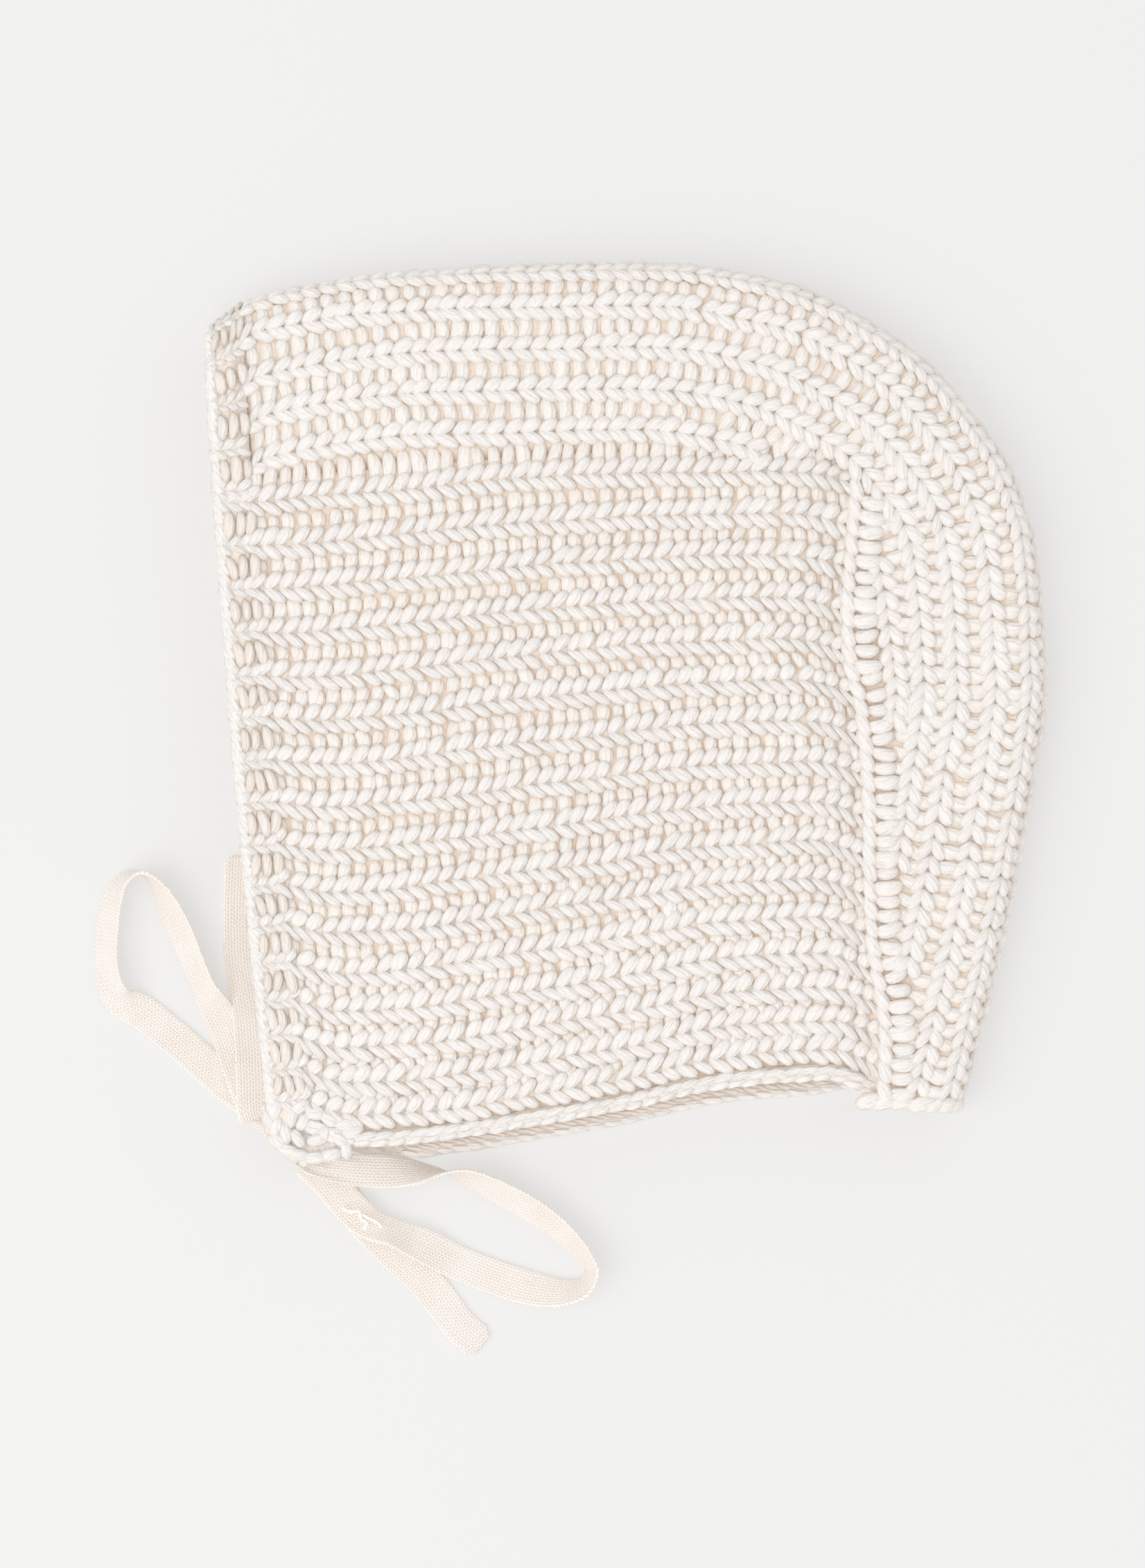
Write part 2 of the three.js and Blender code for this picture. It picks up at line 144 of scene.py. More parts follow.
def loose_line(points, shares):
    """Places at shares 0 to 1 of the row of points, on a smooth loose line through them."""
    points = np.array(points, float)
    rows = np.vstack([2 * points[0] - points[1], points, 2 * points[-1] - points[-2]])
    place = np.clip(shares, 0, 1) * (len(points) - 1)
    step = np.minimum(place.astype(int), len(points) - 2)
    a, b, c, d = (rows[step + i] for i in range(4))

    def slack(p, q, least):
        gap = np.sqrt(np.linalg.norm(q - p, axis=1))[:, None]
        return np.where(gap < 1e-4, least, gap)

    middle = slack(b, c, 1.0)
    first = slack(a, b, middle)
    last = slack(c, d, middle)
    leave = ((b - a) / first - (c - a) / (first + middle) + (c - b) / middle) * middle
    arrive = ((c - b) / middle - (d - b) / (middle + last) + (d - c) / last) * middle
    w = (place - step)[:, None]
    return (
        b
        + leave * w
        + (3 * (c - b) - 2 * leave - arrive) * w**2
        + (2 * (b - c) + leave + arrive) * w**3
    )


def unit(vectors):
    """The same ways, each of length 1."""
    return vectors / np.maximum(np.linalg.norm(vectors, axis=-1, keepdims=True), 1e-12)


def new_piece(name, points, corners, counts, material, uv=None, painted_shade=None):
    """A smooth mesh from its points in mm, its faces' corners in a row and each face's count, with the
    amount of painted shade at each point where that is given.
    """
    mesh = bpy.data.meshes.new(name)
    points = np.asarray(points, np.float64) * mm
    corners = np.asarray(corners, np.int32)
    counts = np.asarray(counts, np.int32)
    starts = np.concatenate([[0], np.cumsum(counts)[:-1]]).astype(np.int32)
    mesh.vertices.add(len(points))
    mesh.vertices.foreach_set("co", points.ravel())
    mesh.loops.add(len(corners))
    mesh.loops.foreach_set("vertex_index", corners)
    mesh.polygons.add(len(counts))
    mesh.polygons.foreach_set("loop_start", starts)
    mesh.polygons.foreach_set("loop_total", counts)
    mesh.polygons.foreach_set("use_smooth", np.ones(len(counts), bool))
    if uv is not None:
        layer = mesh.uv_layers.new(name="yarn")
        layer.data.foreach_set("uv", np.asarray(uv, np.float64).ravel())
    if painted_shade is not None:
        layer = mesh.attributes.new("painted_shade", "FLOAT", "POINT")
        layer.data.foreach_set("value", np.asarray(painted_shade, np.float64).ravel())
    mesh.update(calc_edges=True)
    mesh.validate()
    mesh.materials.append(material)
    piece = bpy.data.objects.new(name, mesh)
    bpy.context.scene.collection.objects.link(piece)
    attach(piece, "root")
    return piece


def signed_volume(points, corners, counts):
    """The volume of a closed mesh, which is below zero where its faces look inward."""
    starts = np.concatenate([[0], np.cumsum(counts)[:-1]])
    total = 0.0
    for i in range(1, int(counts.max()) - 1):
        use = counts > i + 1
        a, b, c = (points[corners[starts[use] + k]] for k in (0, i, i + 1))
        total += np.sum(a * np.cross(b, c))
    return total / 6


def turned_round(corners, counts):
    """The same faces with their corners in the other order, so that they face the other way."""
    starts = np.concatenate([[0], np.cumsum(counts)[:-1]])
    owner = np.repeat(np.arange(len(counts)), counts)
    inside = np.arange(len(corners)) - starts[owner]
    return corners[starts[owner] + counts[owner] - 1 - inside]


def facing_out(points, corners, counts):
    """The corners of a closed mesh's faces, in the order that makes them face outward."""
    if signed_volume(points - points.mean(0), corners, counts) < 0:
        return turned_round(corners, counts)
    return corners


def loose_fibres(name, roots, rng, material, shortest, longest, upward):
    """Short curved hairs, each with three sides and a point, that stand off the wool."""
    hairs = len(roots)
    out = unit(rng.normal(0, 1, (hairs, 3)) + [0, 0, upward])
    bend = unit(rng.normal(0, 1, (hairs, 3)))
    length = rng.uniform(shortest, longest, (hairs, 1))
    thick = rng.uniform(0.012, 0.03, (hairs, 1, 1))
    middle = roots + out * length * 0.5
    tip = roots + out * length * 0.8 + bend * length * 0.45
    side = unit(np.cross(out, bend))
    other = np.cross(out, side)
    turns = 2 * math.pi * np.arange(3) / 3
    ring = np.cos(turns)[:, None] * side[:, None] + np.sin(turns)[:, None] * other[:, None]
    root_ring = roots[:, None] + ring * thick
    middle_ring = middle[:, None] + ring * thick * 0.8
    hair = np.concatenate([root_ring, middle_ring, tip[:, None]], axis=1)
    hair[..., 2] = np.maximum(hair[..., 2], 0.02)
    faces = [(2, 1, 0), (3, 4, 6), (4, 5, 6), (5, 3, 6)]
    faces += [(a, (a + 1) % 3, (a + 1) % 3 + 3) for a in range(3)]
    faces += [(a, (a + 1) % 3 + 3, a + 3) for a in range(3)]
    one = np.array(faces).reshape(-1)
    corners = (one[None] + 7 * np.arange(hairs)[:, None]).reshape(-1)
    counts = np.full(hairs * len(faces), 3)
    if signed_volume(hair[0] - hair[0, 0], one, counts[: len(faces)]) < 0:
        corners = turned_round(corners, counts)
    uv = np.full((len(corners), 2), 0.5)
    return new_piece(name, hair.reshape(-1, 3), corners, counts, material, uv, np.zeros(hairs * 7))


def node(tree, kind, **sockets):
    """A new node with its named sockets linked, or set where a number or colour is given."""
    made = tree.nodes.new(kind)
    for name, value in sockets.items():
        socket = made.inputs[int(name[1:])] if name[0] == "_" else made.inputs[name.replace("_", " ")]
        if isinstance(value, bpy.types.NodeSocket):
            tree.links.new(value, socket)
        else:
            socket.default_value = value
    return made


def calc(tree, operation, first, second=0.0, third=0.0):
    """The result of a Math node."""
    made = node(tree, "ShaderNodeMath", _0=first, _1=second, _2=third)
    made.operation = operation
    return made.outputs[0]


def wool_material(name, roughness, sheen):
    """A matte soft wool: the material, its tree and its shader."""
    material = bpy.data.materials.new(name)
    material.use_nodes = True
    tree = material.node_tree
    shader = tree.nodes["Principled BSDF"]
    shader.inputs["Roughness"].default_value = roughness
    shader.inputs["Specular IOR Level"].default_value = 0.15
    shader.inputs["Sheen Weight"].default_value = sheen
    shader.inputs["Sheen Roughness"].default_value = 0.6
    shader.inputs["Sheen Tint"].default_value = (1, 0.98, 0.95, 1)
    return material, tree, shader


def colour_between(tree, share, low, high):
    """A colour from low to high as the share goes from 0 to 1."""
    ramp = node(tree, "ShaderNodeValToRGB", Fac=share)
    ramp.color_ramp.elements[0].color = (*low, 1)
    ramp.color_ramp.elements[1].color = (*high, 1)
    return ramp.outputs["Color"]


def stocking_stitch_tape():
    """Fine stocking stitch, worked out from the tape's own uv in mm: wales along it, each a row of
    small Vs, with painted shade at a dark point in the middle and in a shallow groove between wales."""
    material, tree, shader = wool_material("cream_tape", 0.92, 0.25)
    uv = node(tree, "ShaderNodeUVMap")
    uv.uv_map = "yarn"
    split = node(tree, "ShaderNodeSeparateXYZ", Vector=uv.outputs["UV"])
    noise = node(tree, "ShaderNodeTexNoise", Vector=uv.outputs["UV"], Scale=0.9, Detail=3.0)
    wander = calc(tree, "MULTIPLY_ADD", noise.outputs["Fac"], 0.24, -0.12)
    across = calc(tree, "ADD", calc(tree, "DIVIDE", split.outputs[0], wale_width), wander)
    from_middle = calc(tree, "ABSOLUTE", calc(tree, "MULTIPLY_ADD", calc(tree, "FRACT", across), 2, -1))
    course = calc(tree, "DIVIDE", split.outputs[1], course_height)
    lean = calc(tree, "MULTIPLY_ADD", from_middle, 0.85, course)
    ridge = calc(tree, "SINE", calc(tree, "MULTIPLY", calc(tree, "FRACT", lean), math.pi))
    side = calc(tree, "SINE", calc(tree, "MULTIPLY", from_middle, math.pi))
    stitch = calc(tree, "POWER", calc(tree, "MULTIPLY", ridge, calc(tree, "POWER", side, 0.8)), 0.8)
    fibres = node(tree, "ShaderNodeTexNoise", Vector=uv.outputs["UV"], Scale=9.0, Detail=4.0)
    relief = calc(tree, "MULTIPLY_ADD", fibres.outputs["Fac"], 0.45, stitch)
    bump = node(tree, "ShaderNodeBump", Strength=0.8, Distance=0.22 * mm, Height=relief)
    tree.links.new(bump.outputs["Normal"], shader.inputs["Normal"])
    # Painted shade from the stitch pattern, low in the V points, grooves and between rows, with random tone
    # from the noises.
    shade = calc(tree, "MULTIPLY_ADD", fibres.outputs["Fac"], 0.3, calc(tree, "MULTIPLY", stitch, 1.45))
    tint = node(tree, "ShaderNodeTexNoise", Vector=uv.outputs["UV"], Scale=0.16, Detail=2.0)
    shade = calc(tree, "MULTIPLY_ADD", tint.outputs["Fac"], 0.7, calc(tree, "ADD", shade, -0.42))
    # From the warm painted shade at 0 to the tape's own cream at 1.
    cream = colour_between(tree, shade, (0.8, 0.67, 0.575), (0.985, 0.942, 0.895))
    tree.links.new(cream, shader.inputs["Base Color"])
    # The tape glows faintly in its own colour, a painted light that lifts its shade.
    tree.links.new(cream, shader.inputs["Emission Color"])
    shader.inputs["Emission Strength"].default_value = 0.11
    return material


cream_tape = stocking_stitch_tape()
white_thread, _, thread_shader = wool_material("white_thread", 0.8, 0.2)
thread_shader.inputs["Base Color"].default_value = (0.99, 0.985, 0.975, 1)
# The thread glows faintly, a painted light that lifts its shade.
thread_shader.inputs["Emission Color"].default_value = (1, 0.99, 0.97, 1)
thread_shader.inputs["Emission Strength"].default_value = 0.15


def ring_faces(count, sides):
    """The faces of a closed tube through a row of rings: their corners and each face's count."""
    ring, turn = np.meshgrid(np.arange(count - 1), np.arange(sides), indexing="ij")
    after = (turn + 1) % sides
    here, there = ring * sides, (ring + 1) * sides
    quads = np.stack([here + turn, here + after, there + after, there + turn], axis=-1).reshape(-1)
    ends = np.concatenate([np.arange(sides)[::-1], (count - 1) * sides + np.arange(sides)])
    counts = np.concatenate([np.full(len(quads) // 4, 4), [sides, sides]])
    return np.concatenate([quads, ends]), counts


def knitted_tape(name, route, seed):
    """A tape along its route, with thick rolled edges, slightly wavy sides and a cut end that narrows."""
    rng = np.random.default_rng(seed)
    rows = np.array(route, float)
    shares = np.linspace(0, 1, tape_steps)
    middle = loose_line(rows[:, :3], shares) + origin_shift
    compass, lean = np.radians(rows[:, 3]), np.radians(rows[:, 4])
    directions = np.stack(
        [np.cos(lean) * np.cos(compass), np.cos(lean) * np.sin(compass), np.sin(lean)], axis=1
    )
    tangent = unit(np.gradient(middle, axis=0))
    across = loose_line(directions, shares)
    across = unit(across - tangent * np.sum(across * tangent, axis=1, keepdims=True))
    through = np.cross(tangent, across)
    width = tape_width * np.interp(shares * (len(rows) - 1), range(len(rows)), rows[:, 5])
    travelled = np.concatenate([[0], np.cumsum(np.linalg.norm(np.diff(middle, axis=0), axis=1))])
    wave = np.convolve(rng.normal(0, 1, tape_steps + 40), np.hanning(41) / 9, "valid")
    cut = np.clip(1 - (travelled[-1] - travelled) / tape_cut_length, 0, 1)
    width = (width * (1 + 0.012 * wave[:tape_steps]) - 0.3) * np.sqrt(1 - 0.6 * cut**2)
    angle = 2 * math.pi * np.arange(tape_sides) / tape_sides
    side = np.sign(np.cos(angle)) * np.abs(np.cos(angle)) ** 0.55
    rise = np.sign(np.sin(angle)) * np.abs(np.sin(angle)) ** 0.7
    rolled = 0.82 + tape_edge_roll * np.exp(-(((np.abs(side) - 0.86) / 0.12) ** 2))
    a = 0.5 * width[:, None] * side[None, :]
    b = 0.5 * tape_thickness * np.broadcast_to(rise * rolled, a.shape)
    gathered = 1 - np.clip((travelled[:, None] - pleat_start) / pleat_fade, 0, 1)
    pleats = np.sin(2 * math.pi * (tape_pleats * a / tape_width + 0.05 * travelled[:, None]))
    curl = (np.abs(side) ** 4)[None] * wave[:tape_steps, None]
    shift = pleat_height * gathered * pleats + tape_curl * curl
    points = middle[:, None] + across[:, None] * a[..., None] + through[:, None] * (b + shift)[..., None]
    points[..., 2] = np.maximum(points[..., 2], 0.03)
    uv_points = np.stack([a, np.broadcast_to(travelled[:, None], a.shape)], axis=-1).reshape(-1, 2)
    points = points.reshape(-1, 3)
    corners, counts = ring_faces(tape_steps, tape_sides)
    corners = facing_out(points, corners, counts)
    piece = new_piece(name, points, corners, counts, cream_tape, uv_points[corners])
    path = [tuple(p * mm) for p in middle[:: tape_steps // tape_path_points]]
    return piece, path, travelled[-1] * mm


def ring_piece(name, rings, painted_shade, material, uv_step):
    """A closed solid through a row of like rings of points, with the amount of painted shade given at each
    point.
    """
    count, sides = rings.shape[:2]
    corners, counts = ring_faces(count, sides)
    points = rings.reshape(-1, 3)
    corners = facing_out(points, corners, counts)
    row, column = np.meshgrid(np.arange(count), np.arange(sides), indexing="ij")
    uv = np.stack([column / sides, row * uv_step], axis=-1).reshape(-1, 2)
    return new_piece(name, points, corners, counts, material, uv[corners], painted_shade.ravel())


def frayed_end(name, path, seed):
    """Short fibres that stick out of a tape's cut end."""
    rng = np.random.default_rng(seed)
    end, before = np.array(path[-1]) / mm, np.array(path[-2]) / mm
    way = unit(end - before)
    aside = np.array([-way[1], way[0], 0])
    roots = end - way * rng.uniform(0, 0.8, (fray_hairs, 1)) + aside * rng.uniform(-3, 3, (fray_hairs, 1))
    return loose_fibres(name, roots, rng, cream_tape, 0.5, 1.9, 0.2)


def loose_thread(name, route):
    """The loose end of a white sewing thread, along its route."""
    line = loose_line(np.array(route, float), np.linspace(0, 1, 40)) + origin_shift
    way = unit(np.gradient(line, axis=0))
    aside = unit(np.cross(way, [0, 0, 1.0]))
    over = np.cross(aside, way)
    angles = 2 * math.pi * np.arange(6) / 6
    rings = line[:, None] + thread_radius * (
        np.cos(angles)[None, :, None] * aside[:, None] + np.sin(angles)[None, :, None] * over[:, None]
    )
    return ring_piece(name, rings, np.zeros(rings.shape[:2]), white_thread, 0.3)


near_tie, near_tie_path, near_tie_length = knitted_tape("near_tie_tape", near_tie_route, 3)
near_fray = frayed_end("near_tie_fray", near_tie_path, 5)
long_thread = loose_thread(
    "near_tie_long_thread",
    [
        (-57.2, -101.4, 3.6),
        (-55.5, -102.2, 4.7),
        (-53.9, -102.1, 4.5),
        (-53.4, -103.6, 4.4),
        (-52.2, -104.5, 4.8),
        (-52.8, -105.8, 4.3),
    ],
)
short_thread = loose_thread(
    "near_tie_short_thread",
    [(-52.9, -102.9, 4.1), (-51.5, -103.6, 5.0), (-50.4, -104.1, 4.9), (-49.2, -105.3, 4.2)],
)
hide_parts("near_tie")

# Far tie
# The same tape, sewn under the far chin corner. It runs out to the upper left, folds back over
# itself in a tall loop, turns under the hem and ends in a cut tail half under the face edge.
far_tie_route = [
    (-64.9, -89.6, 4.1, 52, 0, 0.5),
    (-69.1, -86.4, 2.4, 52, 0, 0.8),
    (-76.5, -79.7, 0.8, 48, 0, 1),
    (-80.2, -76.9, 0.6, 48, 0, 1),
    (-90.4, -67.9, 0.6, 49, 0, 1),
    (-98.1, -61.7, 0.7, 50, 0, 1),
    (-102.3, -59.4, 1.9, 32, 20, 1),
    (-104, -56.8, 3, 15, 42, 1),
    (-105.1, -51.5, 3.2, 5, 48, 1),
    (-104.9, -44.7, 3.2, -5, 48, 1),
    (-103.4, -37.5, 3.5, -15, 55, 1),
    (-100.9, -34.2, 3.9, -40, 72, 1),
    (-97.4, -33.6, 4, 60, 84, 1),
    (-94.2, -36.8, 3.8, 35, 62, 1),
    (-90.4, -44.7, 3.1, 25, 42, 1),
    (-85.6, -55.9, 3.2, 25, 46, 1),
    (-83.4, -60.2, 2.1, 25, 24, 1),
    (-81, -64.8, 1.3, 24, 6, 1),
    (-78.7, -71.1, 1.6, 20, 0, 1),
    (-76.4, -77.8, 2.3, 20, 0, 1),
    (-75, -81.8, 2.8, 20, 0, 1),
    (-74.6, -83, 3.4, 20, 0, 1),
    (-75, -81.8, 4, 18, 0, 1),
    (-75.2, -76.7, 3.9, 10, 0, 1),
    (-75.5, -69, 3.7, 8, 0, 1),
    (-76.1, -62, 2.9, 10, 0, 1),
    (-77.1, -55.7, 1.3, 8, 0, 1),
    (-77.8, -50.8, 0.65, 2, 0, 1),
    (-78, -40.3, 0.6, 0, 0, 1),
    (-77.6, -30, 0.6, -2, 0, 1),
]
far_tie, far_tie_path, far_tie_length = knitted_tape("far_tie_tape", far_tie_route, 4)
far_fray = frayed_end("far_tie_fray", far_tie_path, 6)
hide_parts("far_tie")

# Side panels
# The two sides of the bonnet, knitted in thick 1x1 rib from the face edge to the back seam. Each is a
# soft wall with sixteen ribs of knit stitches on its outside and furrows of purl stitches between.
bonnet_depth = 172.0
bonnet_height = 183.4
knit_wall = 3.8
panel_ribs = 16
face_thickness = 14.0
crown_thickness = 15.4
hem_depth = 7.5
face_bow = 1.1
seam_puff = 0.9
seam_crease = 1.3
hem_lift = 1.6
hem_crown_rise = 4.2
chin_lift = 5.0
lift_reach = 26.0
far_edge_peek = 3.2
seam_gap = 0.3
panel_start = 0.192
panel_end = 0.972
crown_fold = [
    (0.076, 0.966),
    (0.223, 0.99),
    (0.459, 1),
    (0.568, 0.998),
    (0.662, 0.984),
    (0.724, 0.967),
    (0.786, 0.937),
    (0.858, 0.889),
    (0.913, 0.831),
    (0.95, 0.783),
    (0.975, 0.728),
    (0.991, 0.66),
    (1, 0.55),
    (0.997, 0.487),
    (0.968, 0.327),
    (0.935, 0.185),
    (0.901, 0.058),
]
face_edge_top = (0.003, 0.923)
face_edge_chin = (0.082, 0.027)
panel_top = [(0.215, 0.767), (0.378, 0.78), (0.54, 0.786), (0.703, 0.786), (0.764, 0.775)]
panel_seam = [
    (0.756, 0.692),
    (0.751, 0.631),
    (0.753, 0.553),
    (0.766, 0.503),
    (0.775, 0.416),
    (0.776, 0.33),
    (0.78, 0.244),
    (0.794, 0.157),
]
panel_neck = [
    (0.174, 0.039),
    (0.247, 0.0405),
    (0.305, 0.0473),
    (0.393, 0.0611),
    (0.5, 0.0786),
    (0.6, 0.1),
    (0.702, 0.1092),
    (0.753, 0.1092),
    (0.794, 0.0924),
]


def ease(x):
    """From 0 to 1, level at both ends."""
    t = np.clip(x, 0, 1)
    return t * t * (3 - 2 * t)


def plan(rows):
    """Places on the lying bonnet, given as shares of its depth and height, in mm."""
    rows = np.array(rows, float)
    return (rows - 0.5) * [bonnet_depth, bonnet_height]


class DrawnLine:
    """A smooth line through its points, read by share of its length, and straight past its ends."""

    def __init__(self, points):
        points = np.array(points, float)
        place = np.linspace(0, len(points) - 1, 3000)
        step = np.minimum(place.astype(int), len(points) - 2)
        w = (place - step)[:, None]
        a, b = points[np.maximum(step - 1, 0)], points[step]
        c, d = points[step + 1], points[np.minimum(step + 2, len(points) - 1)]
        leave, arrive = (c - a) / 2, (d - b) / 2
        self.line = (
            b
            + leave * w
            + (3 * (c - b) - 2 * leave - arrive) * w**2
            + (2 * (b - c) + leave + arrive) * w**3
        )
        run = np.concatenate([[0], np.cumsum(np.linalg.norm(np.diff(self.line, axis=0), axis=1))])
        self.length = run[-1]
        self.shares = run / self.length
        self.start_way = unit(self.line[5] - self.line[0])
        self.end_way = unit(self.line[-1] - self.line[-6])

    def at(self, share):
        share = np.asarray(share, float)
        inside = np.clip(share, 0, 1)
        place = np.stack([np.interp(inside, self.shares, self.line[:, i]) for i in (0, 1)], axis=-1)
        over = ((share - inside) * self.length)[..., None]
        return place + np.where(over < 0, over * self.start_way, over * self.end_way)

    def way(self, share):
        return unit(self.at(share + 0.002) - self.at(share - 0.002))


face_top, face_chin = plan([face_edge_top, face_edge_chin])
face_length = np.linalg.norm(face_chin - face_top)
face_down = unit(face_chin - face_top)
face_inward = np.array([-face_down[1], face_down[0]])


def face_place(down, inward):
    """A place seen from above, at a way down the face edge and a way in from it, both in mm."""
    down = np.asarray(down, float)
    share = np.clip(down / face_length, 0, 1)
    bow = -4 * face_bow * share * (1 - share)
    return face_top + face_down * down[..., None] + face_inward * (inward + bow)[..., None]


behind_hem = hem_depth + seam_gap
fold_line = DrawnLine(np.vstack([face_place(-hem_crown_rise, behind_hem), plan(crown_fold)]))
top_line = DrawnLine(np.vstack([face_place(panel_start * face_length, behind_hem), plan(panel_top)]))
neck_line = DrawnLine(np.vstack([face_place(panel_end * face_length, behind_hem), plan(panel_neck)]))
seam_line = DrawnLine(np.vstack([top_line.at(1), plan(panel_seam), neck_line.at(1)]))


def on_table(place, height):
    """The face edge is lifted a little off the table, and the chin more, by the ties under it."""
    away = place - face_top
    share = away @ face_down / face_length
    near = 1 - ease((away @ face_inward - hem_depth / 2) / lift_reach)
    lift = (hem_lift + (chin_lift - hem_lift) * ease((share - 0.66) / 0.18)) * near
    raised = height + lift * (1 - height / face_thickness)
    return np.concatenate([place, np.asarray(raised)[..., None]], axis=-1)


def neck_place(along, peek):
    """A place on the neck edge, which the far side holds a little lower in its middle."""
    lowered = peek * ease(along / 0.2) * ease((1 - along) / 0.12)
    return neck_line.at(along) - np.stack([np.zeros_like(lowered), lowered], axis=-1)


def panel_place(along, down, peek):
    """A place on a side panel seen from above, between its four edges."""
    edge_down = (panel_start + (panel_end - panel_start) * down) * face_length
    u, v = along[..., None], down[..., None]
    across_ribs = top_line.at(along) * (1 - v) + neck_place(along, peek) * v
    at_hem = face_place(edge_down, np.full_like(edge_down, behind_hem))
    along_ribs = at_hem * (1 - u) + seam_line.at(down) * u
    hem_corners = top_line.at(0.0) * (1 - v) + neck_line.at(0.0) * v
    seam_corners = top_line.at(1.0) * (1 - v) + neck_line.at(1.0) * v
    return across_ribs + along_ribs - hem_corners * (1 - u) - seam_corners * u


def rib_share(share):
    """The ribs lie a little wider apart near the crown and closer near the neck."""
    return share + 0.09 * share * (1 - share**3)


def panel_height(along, down):
    """How high the near side lies: thicker towards the crown, puffed up before the back seam."""
    swell = (crown_thickness - face_thickness) * ease(along / 0.3) * (1 - ease((down - 0.75) / 0.25))
    puff = seam_puff * np.exp(-(((along - 0.9) / 0.07) ** 2))
    seam_fall = seam_crease * ease((along - 0.94) / 0.06)
    crown_fall = seam_crease * ease((along - 0.6) / 0.3) * (1 - ease(down / 0.05))
    return face_thickness + swell + puff - seam_fall - crown_fall


def near_panel(along, down, above):
    return on_table(panel_place(along, down, 0.0), panel_height(along, down) + above)


def far_panel(along, down, above):
    return on_table(panel_place(along, down, far_edge_peek), -above)


def thick_wool():
    """Soft white wool of several plies: fine lines along each yarn from the uv round and along it,
    loose fibres over them, a warmer painted shade down between the stitches and a faint painted glow."""
    material, tree, shader = wool_material("white_rib_wool", 0.95, 0.3)
    uv = node(tree, "ShaderNodeUVMap")
    uv.uv_map = "yarn"
    split = node(tree, "ShaderNodeSeparateXYZ", Vector=uv.outputs["UV"])
    place = node(tree, "ShaderNodeTexCoord")
    drift = node(tree, "ShaderNodeTexNoise", Vector=place.outputs["Object"], Scale=420.0, Detail=2.0)
    sway = calc(tree, "MULTIPLY", drift.outputs["Fac"], 1.4)
    twist = calc(tree, "MULTIPLY_ADD", split.outputs[1], 1.6, sway)
    turn = calc(tree, "MULTIPLY_ADD", split.outputs[0], 7.0, twist)
    ply = calc(tree, "SINE", calc(tree, "MULTIPLY", turn, 2 * math.pi))
    stretched = node(tree, "ShaderNodeMapping", Vector=uv.outputs["UV"], Scale=(46.0, 3.2, 1.0))
    combed = node(tree, "ShaderNodeTexNoise", Vector=stretched.outputs["Vector"], Scale=1.0, Detail=4.0)
    combed.inputs["Distortion"].default_value = 0.6
    fluff = node(tree, "ShaderNodeTexNoise", Vector=place.outputs["Object"], Scale=2600.0, Detail=4.0)
    relief = calc(tree, "MULTIPLY_ADD", ply, 0.5, calc(tree, "MULTIPLY", combed.outputs["Fac"], 1.0))
    relief = calc(tree, "MULTIPLY_ADD", fluff.outputs["Fac"], 0.6, relief)
    bump = node(tree, "ShaderNodeBump", Strength=0.7, Distance=0.32 * mm, Height=relief)
    tree.links.new(bump.outputs["Normal"], shader.inputs["Normal"])
    # The painted shade stored on each point, which darkens and warms the wool between the stitches.
    painted_shade = node(tree, "ShaderNodeAttribute")
    painted_shade.attribute_name = "painted_shade"
    # The ramp follows the painted shade, with the combed and fluff noises adding a little random tone.
    depth = calc(tree, "MULTIPLY_ADD", combed.outputs["Fac"], -0.12, painted_shade.outputs["Fac"])
    depth = calc(tree, "MULTIPLY_ADD", fluff.outputs["Fac"], -0.1, calc(tree, "ADD", depth, 0.12))
    # From the wool's own cream at 0 to a warm brown painted shade at 1.
    ramp = node(tree, "ShaderNodeValToRGB", Fac=depth)
    ramp.color_ramp.elements[0].color = (0.925, 0.886, 0.85, 1)
    ramp.color_ramp.elements[1].color = (0.74, 0.6, 0.48, 1)
    middle = ramp.color_ramp.elements.new(0.45)
    middle.color = (0.915, 0.842, 0.77, 1)
    tree.links.new(ramp.outputs["Color"], shader.inputs["Base Color"])
    # The wool glows faintly in its own colour: painted light that stands in for light passing through it.
    tree.links.new(ramp.outputs["Color"], shader.inputs["Emission Color"])
    shader.inputs["Emission Strength"].default_value = 0.1
    return material


rib_wool = thick_wool()


def yarn_loop(segments, rings):
    """The start of every yarn stroke: a ball with its poles on the x axis, as points, corners, counts
    and uv."""
    bpy.ops.object.select_all(action="DESELECT")
    bpy.ops.mesh.primitive_uv_sphere_add(
        segments=segments, ring_count=rings, radius=1, rotation=(0, math.pi / 2, 0)
    )
    ball = bpy.context.object
    bpy.ops.object.transform_apply(location=False, rotation=True, scale=False)
    mesh = ball.data
    points = np.empty(len(mesh.vertices) * 3)
    mesh.vertices.foreach_get("co", points)
    corners = np.empty(len(mesh.loops), np.int32)
    mesh.loops.foreach_get("vertex_index", corners)
    counts = np.empty(len(mesh.polygons), np.int32)
    mesh.polygons.foreach_get("loop_total", counts)
    uv = np.empty(len(mesh.loops) * 2)
    mesh.uv_layers[0].data.foreach_get("uv", uv)
    bpy.data.objects.remove(ball)
    bpy.data.meshes.remove(mesh)
    # Blender lists the ball's faces in another order each run, so they are sorted by their corners.
    starts = np.cumsum(counts) - counts
    faces = [np.arange(start, start + count) for start, count in zip(starts, counts)]
    faces.sort(key=lambda face: sorted(corners[face]))
    order = np.concatenate(faces)
    counts = np.array([len(face) for face in faces], np.int32)
    return points.reshape(-1, 3), corners[order], counts, uv.reshape(-1, 2)[order]


fine_stroke = yarn_loop(8, 7)
plain_stroke = yarn_loop(6, 6)


